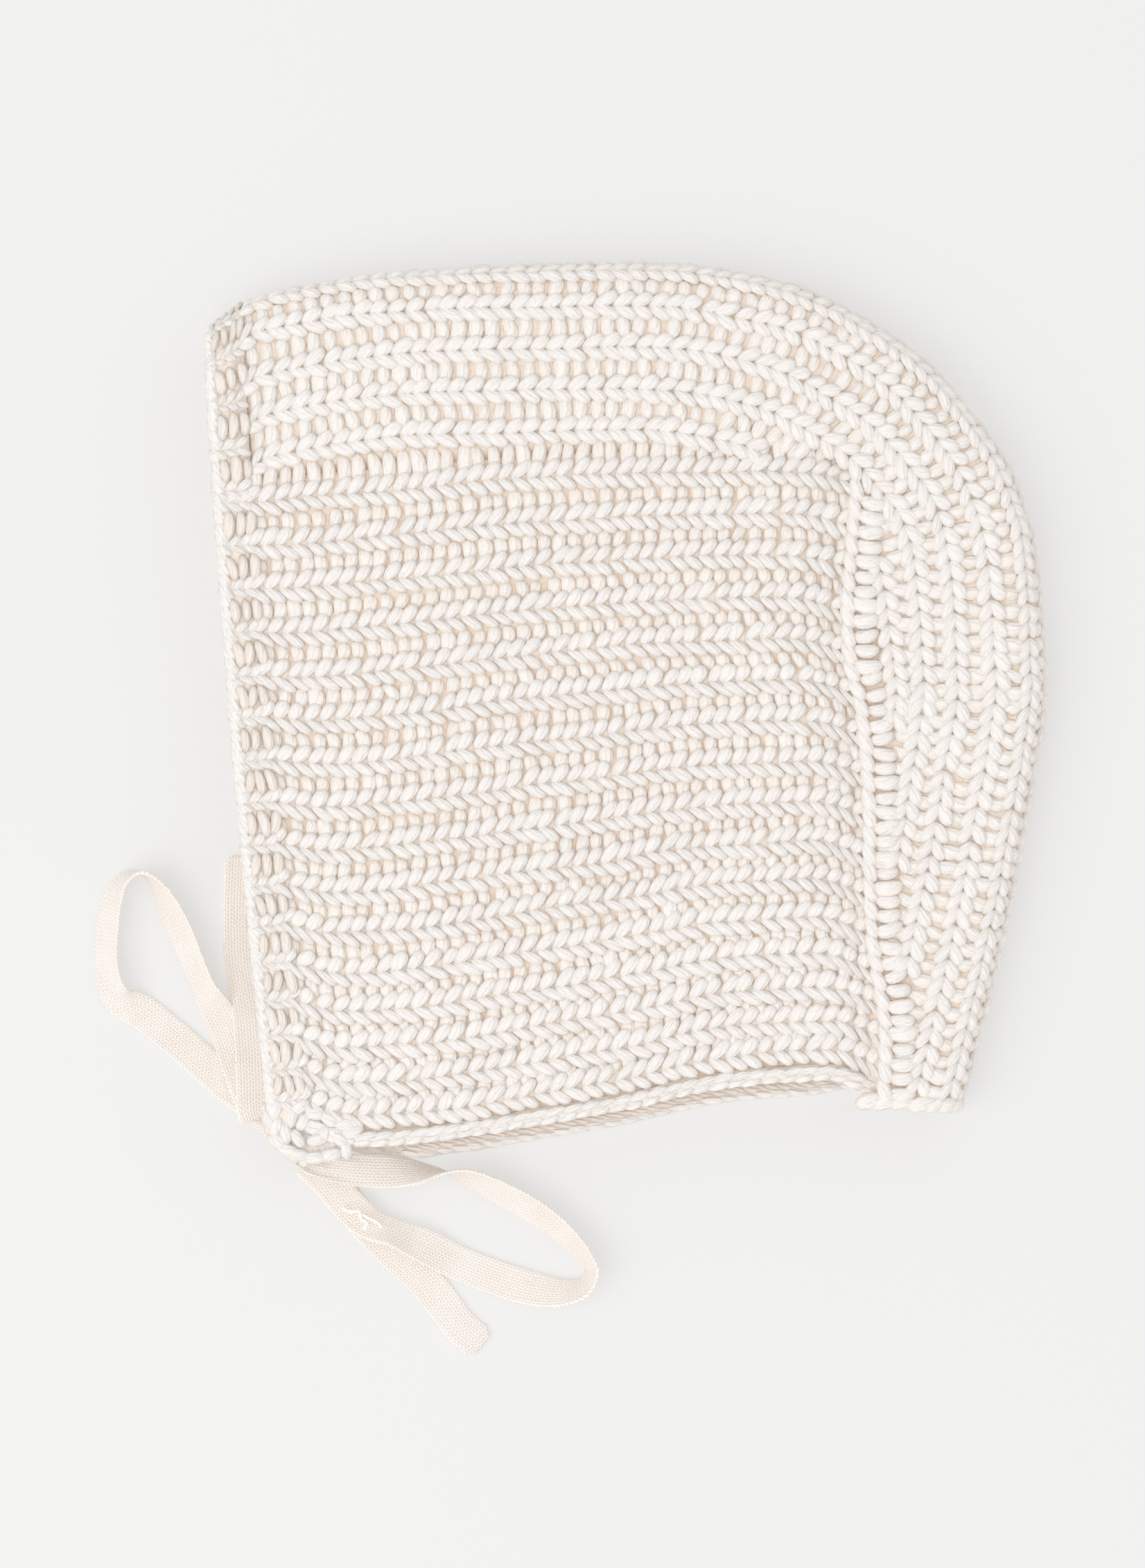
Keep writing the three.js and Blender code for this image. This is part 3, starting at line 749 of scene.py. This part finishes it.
class Strokes:
    """Yarn strokes that are gathered into one joined mesh."""

    def __init__(self, seed):
        self.rng = np.random.default_rng(seed)
        self.points, self.corners, self.counts, self.uv, self.painted_shade = [], [], [], [], []
        self.used = 0

    def add(self, stroke, placed, painted_shade, mirrored):
        """placed holds the stroke's points and the third argument the amount of painted shade at each, one
        row for each copy.
        """
        base, corners, counts, uv = stroke
        copies = len(placed)
        if not copies:
            return
        if mirrored:
            order = turned_round(np.arange(len(corners)), counts)
            corners, uv = corners[order], uv[order]
        offsets = self.used + np.arange(copies)[:, None] * len(base)
        self.points.append(placed.reshape(-1, 3))
        self.painted_shade.append(painted_shade.reshape(-1))
        self.corners.append((corners[None] + offsets).reshape(-1))
        self.counts.append(np.tile(counts, copies))
        shift = self.rng.random((copies, 1, 2)) * [1, 3]
        self.uv.append((uv[None] + shift).reshape(-1, 2))
        self.used += copies * len(base)

    def fuzz(self, name, material, hairs):
        points = np.concatenate(self.points)
        roots = points[self.rng.integers(0, len(points), hairs)]
        return loose_fibres(name, roots, self.rng, material, 0.7, 2.3, 0.35)

    def piece(self, name, material):
        points, painted_shade = np.concatenate(self.points), np.concatenate(self.painted_shade)
        corners, counts = np.concatenate(self.corners), np.concatenate(self.counts)
        uv = np.concatenate(self.uv)
        if signed_volume(points - points.mean(0), corners, counts) < 0:
            order = turned_round(np.arange(len(corners)), counts)
            corners, uv = corners[order], uv[order]
        return new_piece(name, points, corners, counts, material, uv, painted_shade)


def straight(place):
    """A rib that keeps one place across its wall."""
    return lambda shares: np.full_like(shares, place)


class RibPath:
    """A line of stitches on a wall of knit: rib(u) gives its place across the wall, and the stitches
    are counted along its real length."""

    def __init__(self, wall, rib, start, end):
        self.wall, self.rib = wall, rib
        self.u = np.linspace(start, end, 600)
        v = rib(self.u)
        zero = np.zeros_like(self.u)
        line = wall(self.u, v, zero)
        self.run = np.concatenate([[0], np.cumsum(np.linalg.norm(np.diff(line, axis=0), axis=1))])
        self.length = self.run[-1]
        span = 0.004 * max(1.0, float(np.max(np.abs(v))))
        self.per_v = np.linalg.norm(wall(self.u, v + span, zero) - wall(self.u, v - span, zero), axis=1) / (
            2 * span
        )

    def u_at(self, travelled):
        inside = np.interp(travelled, self.run, self.u)
        first = (self.u[1] - self.u[0]) / max(self.run[1], 1e-9)
        last = (self.u[-1] - self.u[-2]) / max(self.run[-1] - self.run[-2], 1e-9)
        inside = np.where(travelled < 0, self.u[0] + travelled * first, inside)
        return np.where(travelled > self.length, self.u[-1] + (travelled - self.length) * last, inside)

    def lay(self, travelled, sideways, above):
        u = self.u_at(travelled)
        v = self.rib(u) + sideways / np.interp(u, self.u, self.per_v)
        return self.wall(u, v, above)


def stroke_rings(stroke):
    """For each point of a stroke, its place along it from -1 to 1 and the way it faces round it."""
    points = stroke[0]
    return points[:, 0], unit(points[:, 1:])


def arm_shape(stroke, start, end, thickness, height, dip, fall):
    """A stroke of yarn from start to end, each (along, across) in mm from the stitch's middle: a soft
    leaf, a little flatter than it is wide, whose tips dip under the next stitch. The shares in it and
    in the stitches below are chosen."""
    x, around = stroke_rings(stroke)
    t = (x + 1) / 2
    start, end = np.array(start, float), np.array(end, float)
    way = unit(end - start)
    taper = np.sqrt(np.clip(1 - np.abs(x) ** 2.6, 0, 1)) * (0.82 + 0.26 * t)
    aside = thickness / 2 * taper * around[:, 0]
    along = start[0] + (end[0] - start[0]) * t - way[1] * aside
    across = start[1] + (end[1] - start[1]) * t + way[0] * aside
    lowered = -height / 2 - dip * (1 - t) ** 2 - fall * t**2.5
    above = lowered + height / 2 * taper * around[:, 1]
    return along, across, above


def sunk(above):
    """How deep a place lies between the stitches, as the amount of painted shade that darkens and warms it.
    """
    return np.clip((-above - 0.6) / 2.6, 0, 1)


def spread_along(strokes, path, pitch, uneven, sizes, heights, keep=None):
    """Places for a path's stitches, a little uneven as by hand: the step between them, then the
    place, size and height of each one kept, and which are kept."""
    rng = strokes.rng
    count = max(2, round(path.length / pitch))
    step = path.length / count
    middles = (np.arange(count) + 0.5) * step + rng.normal(0, uneven * step, count)
    size = 1 + rng.normal(0, sizes, (count, 1))
    raised = rng.normal(0, heights, (count, 1))
    flat = np.zeros(count)
    kept = np.ones(count, bool) if keep is None else keep(path.lay(middles, flat, flat))
    return step, middles[kept], size[kept], raised[kept], kept


def knit_rib(strokes, stroke, path, pitch, half_width, bias=0.0, height=2.1, keep=None, sink=0.0):
    """A rib of knit stitches: two leaning arms a stitch, which meet in the rib's middle. Under a bias
    the arms on the one side are steep and fat and on the other long and flat."""
    rng = strokes.rng
    step, middles, size, raised, kept = spread_along(strokes, path, pitch, 0.045, 0.04, 0.1, keep)
    drift = np.convolve(rng.normal(0, 1, len(kept) + 6), np.hanning(7) / 3, "valid")
    sway = (rib_sway * drift[: len(kept), None])[kept]
    for hand in (1, -1):
        lean = rng.normal(0, 0.08, size.shape)
        own = size * (1 + rng.normal(0, 0.04, size.shape))
        tilt = bias * hand
        along, across, above = arm_shape(
            stroke,
            (-(0.8 + 0.04 * tilt) * step, -0.06 * half_width),
            ((0.52 + 0.14 * tilt) * step, (1.06 - 0.08 * tilt) * half_width),
            thickness=(0.8 - 0.09 * tilt) * step,
            height=height,
            dip=0.7,
            fall=0.55,
        )
        along = along[None] * own + lean * across[None]
        across = hand * across[None] * size + sway
        above = above[None] + raised + rng.normal(0, 0.06, size.shape) - sink
        placed = path.lay(middles[:, None] + along, across, above)
        # Each arm's points get painted shade by how deep they lie.
        strokes.add(stroke, placed, sunk(above), mirrored=hand < 0)


def slanted_row(strokes, stroke, path, pitch, reach, thickness, height, ahead=0.85, level=0.0):
    """A row of long strokes that overlap like the turns of a rope."""
    step, middles, size, raised, _ = spread_along(strokes, path, pitch, 0.05, 0.05, 0.08)
    tip_fall = 0.3 * height
    along, across, above = arm_shape(
        stroke, (-ahead * step, -reach), (ahead * step, reach), thickness, height, tip_fall, tip_fall
    )
    along = along[None] * size
    across = across[None] * size
    above = above[None] + raised + level
    placed = path.lay(middles[:, None] + along, across, above)
    # Each stroke's points get painted shade by how deep they lie.
    strokes.add(stroke, placed, sunk(above), mirrored=False)


def purl_furrow(strokes, stroke, path, pitch, width, depth, keep=None, painted_furrow_shade=0.32):
    """A furrow of purl stitches: one short bar across it for each row, sunk below the ribs, in painted
    shade.
    """
    rng = strokes.rng
    step, middles, size, raised, _ = spread_along(strokes, path, pitch, 0.06, 0.07, 0.12, keep)
    x, around = stroke_rings(stroke)
    radius = 0.475 * step * np.sqrt(np.clip(1 - np.abs(x) ** 3, 0, 1))
    across = x * width / 2
    along = 0.16 * step * (1 - x**2) - 1.04 * radius * around[:, 0]
    above = -depth - 0.33 * step - 0.5 * x**2 + 0.74 * radius * around[:, 1]
    lean = rng.normal(0, 0.12, size.shape)
    along = along[None] * size + lean * across[None]
    across = np.broadcast_to(across[None] * size, along.shape)
    above = above[None] + raised
    placed = path.lay(middles[:, None] + along, across, above)
    # Painted shade: a set amount for the whole furrow, plus more the deeper a bar's point lies.
    painted_shade = np.clip(painted_furrow_shade + (-above - depth - 0.35) / 1.9, 0, 1)
    strokes.add(stroke, placed, painted_shade, mirrored=False)


def soft_wall(name, outer, inner, painted_shade, material, uv_step):
    """A closed wall between an outer and an inner grid of points, with the amount of painted shade given at
    each point of the grid.
    """
    rows, columns = outer.shape[:2]
    points = np.concatenate([outer.reshape(-1, 3), inner.reshape(-1, 3)])
    r, c = np.meshgrid(np.arange(rows - 1), np.arange(columns - 1), indexing="ij")

    def quad(a, b, second_a, second_b):
        return np.stack([a, b, second_b, second_a], axis=-1).reshape(-1, 4)

    top = quad(r * columns + c, r * columns + c + 1, (r + 1) * columns + c, (r + 1) * columns + c + 1)
    bottom = top[:, ::-1] + rows * columns
    border = np.concatenate(
        [
            np.arange(columns),
            np.arange(1, rows) * columns + columns - 1,
            (rows - 1) * columns + np.arange(columns - 2, -1, -1),
            np.arange(rows - 2, 0, -1) * columns,
        ]
    )
    after = np.roll(border, -1)
    rim = np.stack([after, border, border + rows * columns, after + rows * columns], axis=-1)
    faces = np.concatenate([top, bottom, rim])
    corners, counts = faces.reshape(-1), np.full(len(faces), 4)
    corners = facing_out(points, corners, counts)
    row, column = np.meshgrid(np.arange(rows), np.arange(columns), indexing="ij")
    uv = np.tile(np.stack([column, row], axis=-1).reshape(-1, 2) * uv_step, (2, 1))
    return new_piece(name, points, corners, counts, material, uv[corners], np.tile(painted_shade.ravel(), 2))


knit_pitch = 3.04
chain_half_width = 2.85
furrow_width = 4.6
furrow_depth = 1.25
crown_furrow_extra = 3.0
lower_ribs = 0.7
lower_rib_stretch = 1.08
rib_sway = 0.26
wall_rows = 90
wall_columns_per_rib = 8
panel_hairs = {"near": 3800, "far": 1800}


def dress_sheet(node_name):
    """Hides the solid of a sheet of rib, whose soft wall, stitches and fuzz are built in its place."""
    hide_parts(node_name)


def side_panel(wall, side, stroke, seed):
    """One side: its soft wall, its ribs and its furrows."""
    u, v = np.meshgrid(
        np.linspace(0, 1, wall_rows),
        rib_share(np.linspace(0, 1, panel_ribs * wall_columns_per_rib + 1)),
        indexing="ij",
    )
    ribs = np.linspace(0, panel_ribs, panel_ribs * wall_columns_per_rib + 1)[None]
    swell = 0.5 - 0.5 * np.cos(2 * math.pi * ribs) + 0 * u
    outer = wall(u, v, -2.35 + 0.6 * swell)
    inner = wall(u, v, -knit_wall + 0.2 + 0.5 * (1 - swell))
    # The wall under the stitches is in painted shade, deeper under the furrows than under the ribs.
    ground = soft_wall(f"{side}_panel_wall", outer, inner, 0.85 - 0.25 * swell, rib_wool, 0.06)
    strokes = Strokes(seed)
    for k in range(panel_ribs):
        down = float(rib_share((k + 0.5) / panel_ribs))
        pitch = knit_pitch * (lower_rib_stretch if down > lower_ribs else 1)
        path = RibPath(wall, straight(down), -0.008, 1.016)
        knit_rib(strokes, stroke, path, pitch, chain_half_width, bias=1.0)
    for k in range(panel_ribs):
        down = float(rib_share(k / panel_ribs))
        path = RibPath(wall, straight(down), -0.008, 1.008)
        width = furrow_width + (crown_furrow_extra if k == 0 else 0)
        purl_furrow(strokes, stroke, path, knit_pitch, width, furrow_depth)
    rib_piece = strokes.piece(f"{side}_panel_ribs", rib_wool)
    fibres = strokes.fuzz(f"{side}_panel_fuzz", rib_wool, panel_hairs[side])
    return ground, rib_piece, fibres


near_wall, near_ribs, near_fuzz = side_panel(near_panel, "near", fine_stroke, 11)
far_wall, far_ribs, far_fuzz = side_panel(far_panel, "far", plain_stroke, 12)
dress_sheet("near_side_panel")
dress_sheet("far_side_panel")

# Crown band
# One strip of the same rib that starts at the face, runs over the crown and down the back to the
# nape. It lies folded lengthwise, with half of its ribs on each side of the fold.
band_half_arc = 56.0
# Each row: the share of the band's length, then how far the middles of the near half's ribs lie from
# the fold, measured round it in mm. The last of them runs into the seam.
band_rib_rows = [
    (0.0, 4.0, 12.2, 20.9, 29.0, 37.6),
    (0.15, 5.6, 14.2, 22.6, 31.0, 39.4),
    (0.4, 6.0, 14.8, 23.0, 31.4, 39.8),
    (0.52, 6.0, 14.4, 22.2, 29.8, 38.2),
    (0.62, 7.4, 15.6, 23.2, 30.4, 37.2),
    (0.75, 8.0, 16.0, 23.8, 30.2, 35.6),
    (1.0, 8.0, 15.6, 23.0, 29.0, 33.0),
]
far_rib_step = 8.5


def round_fold(arc, thickness, above):
    """How far in from the fold and how high a place lies, from its way round the fold in mm."""
    radius = thickness / 2
    quarter = math.pi * radius / 2
    angle = np.clip(arc / radius, -math.pi / 2, math.pi / 2)
    depth = radius - (radius + above) * np.cos(angle) + np.maximum(0, np.abs(arc) - quarter)
    return depth, radius + (radius + above) * np.sin(angle)


def band_way_in(along):
    """The way from the fold towards the panels, which turns level at the face and at the nape."""
    tangent = unit(fold_line.at(along + 0.035) - fold_line.at(along - 0.035))
    inward = np.stack([tangent[..., 1], -tangent[..., 0]], axis=-1)
    face_part = (1 - ease(along / 0.14))[..., None]
    nape_part = ease((along - 0.9) / 0.1)[..., None]
    inward = inward * (1 - face_part) + face_down * face_part
    inward = inward * (1 - nape_part) + np.array([-1, 0.05]) * nape_part
    return unit(inward)


def crown_wall(along, arc, above):
    """A place on the band: along its fold line, then round the fold in mm."""
    thickness = face_thickness + (crown_thickness - face_thickness) * ease(along / 0.15)
    depth, height = round_fold(arc, thickness, above)
    return on_table(fold_line.at(along) + band_way_in(along) * depth[..., None], height)


panel_outline = np.vstack(
    [
        top_line.at(np.linspace(0, 1, 60)) + [0, seam_gap],
        seam_line.at(np.linspace(0, 1, 120)) + [seam_gap, 0],
        [(seam_line.at(1.0)[0], -bonnet_height), (-bonnet_height, -bonnet_height)],
        [(-bonnet_height, top_line.at(0.0)[1])],
    ]
)


def under_panel(places):
    """True where a place lies in the stretch that the side panels take up."""
    x, y = places[..., 0], places[..., 1]
    inside = np.zeros(x.shape, bool)
    ax, ay = panel_outline[-1]
    for bx, by in panel_outline:
        crosses = (ay > y) != (by > y)
        if by != ay:
            at_x = (bx - ax) * (y - ay) / (by - ay) + ax
            inside ^= crosses & (x < at_x)
        ax, ay = bx, by
    return inside


band_tuck = 2.4
band_wall_end = 0.9965
band_stitch_end = 0.9925


def band_limit(along, side):
    """How far round the fold the band reaches at each place before it meets the side panel."""
    arcs = np.linspace(13, band_half_arc, 220)
    u, v = np.meshgrid(along, side * arcs, indexing="ij")
    hidden = under_panel(crown_wall(u, v, np.zeros_like(u))[..., :2])
    first = np.where(hidden.any(axis=1), hidden.argmax(axis=1), len(arcs) - 1)
    return arcs[first] + band_tuck


band_rows = 200
band_columns = 64
u = np.linspace(0, band_wall_end, band_rows)
near_reach, far_reach = band_limit(u, 1), band_limit(u, -1)
share = np.linspace(0, 1, band_columns)
v = -far_reach[:, None] * (1 - share) + near_reach[:, None] * share
grid_u = np.broadcast_to(u[:, None], v.shape)
to_edge = np.minimum(near_reach[:, None] - v, v + far_reach[:, None])
outer = crown_wall(grid_u, v, -2.0 - 1.5 * (1 - ease((to_edge - 1.5) / 3.5)))
inner = crown_wall(grid_u, v, np.full(v.shape, -knit_wall))
# The band's wall under its stitches is in an even painted shade.
band_ground = soft_wall("crown_band_wall", outer, inner, np.full(v.shape, 0.75), rib_wool, 0.06)

band_table = np.array(band_rib_rows)
band_shares = np.linspace(0, 1, 401)
# Each rib's line is smoothed over 61 steps, and held level for half of them beyond both ends.
smoothing_shares = np.linspace(-0.075, 1.075, 461)
smoothing = np.hanning(63)[1:-1] / np.hanning(63).sum()
band_arcs = []
for column in band_table[:, 1:].T:
    cornered = np.interp(smoothing_shares, band_table[:, 0], column)
    band_arcs.append(np.convolve(cornered, smoothing, "valid"))


def band_rib(index):
    """Place round the fold of a rib, or of the furrow between two where the index is a half."""

    def arc(along):
        columns = [np.interp(along, band_shares, band_arcs[k]) for k in range(5)]
        if index < 0:
            return columns[0] + index * far_rib_step
        low = min(int(index), 4)
        high = min(low + 1, 4)
        if index > 4:
            return columns[4] + (index - 4) * (columns[4] - columns[3])
        return columns[low] + (index - low) * (columns[high] - columns[low])

    return arc


def clear_of_panel(border):
    """A test for the band's stitches, true where they are that far behind the back seam."""

    def chosen(points):
        places = points[..., :2]
        aside = border * ease((seam_line.at(0.0)[1] - places[..., 1]) / 12)
        beside = np.stack([places[..., 0] - aside, places[..., 1]], axis=-1)
        return ~under_panel(beside + [0, 0.8])

    return chosen


def band_path(index):
    """The path of a rib or furrow of the band, from the face to the nape."""
    return RibPath(crown_wall, band_rib(index), 0.0, band_stitch_end)


band_fuzz_hairs = 4500
band_knit_pitch = 3.5
band_chain_half_width = 2.3
band_rib_border = 7.0
band_furrow_border = 4.2
seam_chain_offset = 1.7
seam_column_offset = 5.3
band_strokes = Strokes(21)
for index in range(-5, 5):
    knit_rib(
        band_strokes,
        fine_stroke,
        band_path(index),
        band_knit_pitch,
        band_chain_half_width,
        bias=0.5,
        keep=clear_of_panel(band_rib_border),
    )
for index in range(-6, 4):
    purl_furrow(
        band_strokes,
        plain_stroke,
        band_path(index + 0.5),
        band_knit_pitch - 0.2,
        furrow_width + 1.2,
        furrow_depth - 0.3,
        keep=clear_of_panel(band_furrow_border),
        # The set amount of painted shade in the band's furrows.
        painted_furrow_shade=0.22,
    )


def along_seam(offset):
    """A narrow wall that follows the back seam at a distance behind it."""

    def wall(u, v, above):
        place = seam_line.at(u)
        way = seam_line.way(u)
        out = np.stack([-way[..., 1], way[..., 0]], axis=-1)
        place = place + out * (offset + v)[..., None]
        level = crown_thickness + 0.1 * offset
        return on_table(place, level + above)

    return wall


chain_path = RibPath(along_seam(seam_chain_offset), straight(0.0), 0.03, 1.03)
slanted_row(band_strokes, fine_stroke, chain_path, 3.75, 0.9, 2.9, 2.3, ahead=0.75)
column_path = RibPath(along_seam(seam_column_offset), straight(0.0), 0.05, 1.03)
# The seam's column of purl bars gets only a little set painted shade.
purl_furrow(band_strokes, fine_stroke, column_path, 3.0, 5.5, 0.45, painted_furrow_shade=0.06)


def nape_wall(u, v, above):
    """The band's bottom edge: u runs round the fold and v down past the edge, in mm."""
    return crown_wall(1 + v / fold_line.length, u, above)


bound_off = RibPath(nape_wall, straight(-1.3), -25.0, 26.0)
slanted_row(band_strokes, fine_stroke, bound_off, 3.4, 0.7, 3.4, 2.7)
band_ribs = band_strokes.piece("crown_band_ribs", rib_wool)
band_fuzz = band_strokes.fuzz("crown_band_fuzz", rib_wool, band_fuzz_hairs)
dress_sheet("crown_band")

# Face hem
# The first rows of both sides and of the band, knitted tighter, which make a flat border with a
# smooth round rim all the way round the face.
quarter_turn = math.pi * face_thickness / 4
hem_end = 0.98
hem_stitch_pitch = 2.15
hem_chain_half_width = 1.9
hem_bar_pitch = 2.1
hem_bar_width = 5.4
hem_bar_depth = -0.3
hem_fuzz_hairs = 2200


def hem_wall(inward, arc, above):
    """A place on the hem: inward runs from its rim to its seam, the arc round the fold."""
    depth, height = round_fold(arc, face_thickness, above)
    rise = hem_crown_rise * np.clip(inward / hem_depth, 0, 1.2) * (1 - ease(depth / 30))
    return on_table(face_place(depth - rise, inward), height)


strip = hem_end * face_length - face_thickness / 2
hem_arcs = np.concatenate(
    [
        np.linspace(quarter_turn + strip, quarter_turn, 150)[:-1],
        np.linspace(quarter_turn, -quarter_turn, 24),
        np.linspace(-quarter_turn, -quarter_turn - strip, 150)[1:],
    ]
)
hem_angles = np.linspace(-math.pi / 2, math.pi / 2, 9)
rim_in = 0.8 + 1.1 * (1 - np.cos(hem_angles))
rim_up = -2.2 + 1.1 * np.sin(hem_angles)
hem_profile_in = np.concatenate([[hem_depth, 4.5], rim_in, [4.5, hem_depth + 0.6]])
hem_profile_up = np.concatenate([[-3.3, -3.3], rim_up, [-1.1, -1.3]])
s, a = np.meshgrid(hem_arcs, np.arange(len(hem_profile_in)), indexing="ij")
hem_points = hem_wall(hem_profile_in[a], s, hem_profile_up[a])
# The hem's wall under its stitches is in an even painted shade.
hem_ground = ring_piece("face_hem_wall", hem_points, np.full(s.shape, 0.6), rib_wool, 0.2)

hem_strokes = Strokes(31)
hem_rib_arcs = [float(band_rib(k)(0.0)) for k in range(-6, 5)]
for k in range(panel_ribs):
    share = panel_start + (panel_end - panel_start) * float(rib_share((k + 0.5) / panel_ribs))
    arc = share * face_length - face_thickness / 2 + quarter_turn
    hem_rib_arcs.append(arc)
    hem_rib_arcs.append(-arc)
hem_rib_arcs.sort()
for arc in hem_rib_arcs:
    path = RibPath(hem_wall, straight(arc), 0.7, hem_depth + 0.6)
    knit_rib(
        hem_strokes,
        fine_stroke,
        path,
        hem_stitch_pitch,
        hem_chain_half_width,
        bias=1.0,
        height=2.0,
        sink=-0.1,
    )
for low, high in zip(hem_rib_arcs, hem_rib_arcs[1:]):
    if high - low < 6 or high - low > 12:
        continue
    middle = (low + high) / 2
    path = RibPath(hem_wall, straight(middle), 1.6, hem_depth + 0.8)
    purl_furrow(
        # The last argument is the set amount of painted shade in the hem's furrow bars.
        hem_strokes, plain_stroke, path, hem_bar_pitch, hem_bar_width, hem_bar_depth, painted_furrow_shade=0.44
    )


def rim_wall(u, v, above):
    """The hem again, with u round the fold, so that a path can run along its rim."""
    return hem_wall(v, u, above)


rim_line = RibPath(rim_wall, straight(1.25), float(hem_arcs[-1]), float(hem_arcs[0]))
slanted_row(hem_strokes, plain_stroke, rim_line, 2.1, 0.45, 2.9, 2.6, ahead=0.95, level=0.3)
hem_ribs = hem_strokes.piece("face_hem_stitches", rib_wool)
hem_fuzz = hem_strokes.fuzz("face_hem_fuzz", rib_wool, hem_fuzz_hairs)
dress_sheet("face_hem")

# Neck edges
# The bound-off edge along the bottom of each side: one thick chain of stitches, the far one showing
# a little below the near one.
neck_edge_width = 4.6
neck_edge_steps = 160
neck_edge_sides = 12
neck_row_turns = (-0.7, 1.9, 4.5)


def neck_edge(side, near, seed):
    """One side's edge: its soft core and the rows of strokes laid round it."""
    peek = 0.0 if near else far_edge_peek
    along = np.linspace(0.0, 1.012, neck_edge_steps)
    ahead = neck_place(np.minimum(1, along + 0.02), peek) - neck_place(along - 0.02, peek)
    outward = unit(np.stack([ahead[:, 1], -ahead[:, 0]], axis=1))
    outward[outward[:, 1] > 0] *= -1
    middle_place = neck_place(along, peek) + outward * (1.6 if near else 1.7)
    height = np.full_like(along, knit_wall / 2)
    if near:
        height = panel_height(along, np.ones_like(along)) - knit_wall / 2
    angles = 2 * math.pi * np.arange(neck_edge_sides) / neck_edge_sides
    rings = []
    for angle in angles:
        edge = middle_place + outward * (math.cos(angle) * (neck_edge_width / 2 - 1.1))
        rings.append(on_table(edge, height + math.sin(angle) * (knit_wall / 2 - 1.0)))
    rings = np.stack(rings, axis=1)
    # The core under the chain is in an even painted shade.
    core = ring_piece(f"{side}_neck_core", rings, np.full(rings.shape[:2], 0.45), rib_wool, 0.2)

    def edge_wall(u, v, above):
        place = np.stack([np.interp(u, along, middle_place[:, i]) for i in (0, 1)], axis=-1)
        out = np.stack([np.interp(u, along, outward[:, i]) for i in (0, 1)], axis=-1)
        level = np.interp(u, along, height)
        turn = v / (knit_wall / 2)
        reach = (neck_edge_width / 2 + above) * np.sin(turn)
        up = (knit_wall / 2 + above) * np.cos(turn)
        return on_table(place + unit(out) * reach[..., None], level + (up if near else -up))

    strokes = Strokes(seed)
    for turn in neck_row_turns:
        path = RibPath(edge_wall, straight(turn), 0.01, 1.012)
        slanted_row(strokes, fine_stroke, path, 3.5, -1.2, 3.3, 2.4, ahead=0.8, level=0.2)
    chain = strokes.piece(f"{side}_neck_chain", rib_wool)
    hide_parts(f"{side}_neck_edge")


neck_edge("near", True, 41)
neck_edge("far", False, 42)

# Chin gathers
# The corner of each side is drawn up into a small lump of yarn knots, where its tie is sewn on.
gather_length = 14.4
gather_width = 8.2
chin_gather = plan((0.131, 0.022))
# Each top stroke: its place from the middle of the gather in mm, the way it points in degrees and its
# length in mm. The first six ring a small hollow, and the others lead off it.
gather_strokes = [
    (0.9, 6.3, 8, 4.8),
    (3.3, 4.8, -35, 4.6),
    (3.2, 2.2, -105, 3.8),
    (1.2, 0.6, -165, 4.6),
    (-2.7, 1.4, 120, 4.6),
    (-1.8, 4.4, 62, 4.2),
    (5.6, 1.0, -50, 4.8),
    (7.0, -0.9, -78, 4.0),
    (4.2, -1.9, 12, 4.8),
    (0.8, -2.5, 2, 5.0),
    (-2.4, -2.0, -16, 4.8),
    (-4.9, -0.6, -38, 4.6),
    (-5.2, 2.6, 88, 5.0),
    (-4.6, 5.8, 74, 5.0),
    (-7.4, 3.6, 82, 4.8),
    (-7.6, 6.8, 88, 4.8),
    (-8.0, 5.2, 96, 4.4),
    (-2.4, 7.4, 24, 4.8),
    (-6.4, 0.8, -60, 4.2),
    (8.4, 2.6, 14, 5.0),
    (6.4, 4.2, 22, 4.8),
]
gather_body_strokes = 34
gather_spots = (
    ("near", face_thickness - 1.1, 51),
    ("far", chin_lift + 1.8, 52),
)
for side, gather_height, seed in gather_spots:
    strokes = Strokes(seed)
    rng = strokes.rng
    body = []
    for _ in range(gather_body_strokes):
        turn = rng.uniform(0, 2 * math.pi)
        reach = 0.7 * math.sqrt(rng.uniform(0, 1))
        body.append(
            (
                reach * math.cos(turn) * gather_length / 2,
                reach * math.sin(turn) * gather_width / 2,
                rng.uniform(-180, 180),
                rng.uniform(3.4, 5.0),
            )
        )
    rows = [(*row, -1.6) for row in body]
    if side == "near":
        rows += [(x - 1.0, y, way, length, -1.5) for x, y, way, length in gather_strokes]
        rows += [(*row, 0.35) for row in gather_strokes]
    x, around = stroke_rings(fine_stroke)
    for east, north, way, length, raised in rows:
        way = math.radians(way + rng.normal(0, 10))
        thick = rng.uniform(2.2, 2.6)
        radius = thick / 2 * np.sqrt(np.clip(1 - np.abs(x) ** 2.8, 0, 1))
        along, aside = x * length / 2, radius * around[:, 0]
        place = chin_gather + [east, north] + rng.normal(0, 0.25, 2)
        px = place[0] + along * math.cos(way) - aside * math.sin(way)
        py = place[1] + along * math.sin(way) + aside * math.cos(way)
        z = gather_height + raised - 0.7 * x**2 + 0.85 * radius * around[:, 1]
        # Painted shade, deeper the lower a point lies under the top of the gather.
        painted_shade = np.clip((gather_height - 0.2 - z) / 2.4, 0, 1)
        strokes.add(fine_stroke, np.stack([px, py, z], axis=-1)[None], painted_shade[None], mirrored=False)
    lump = strokes.piece(f"{side}_gather_knots", rib_wool)
    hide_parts(f"{side}_chin_gather")
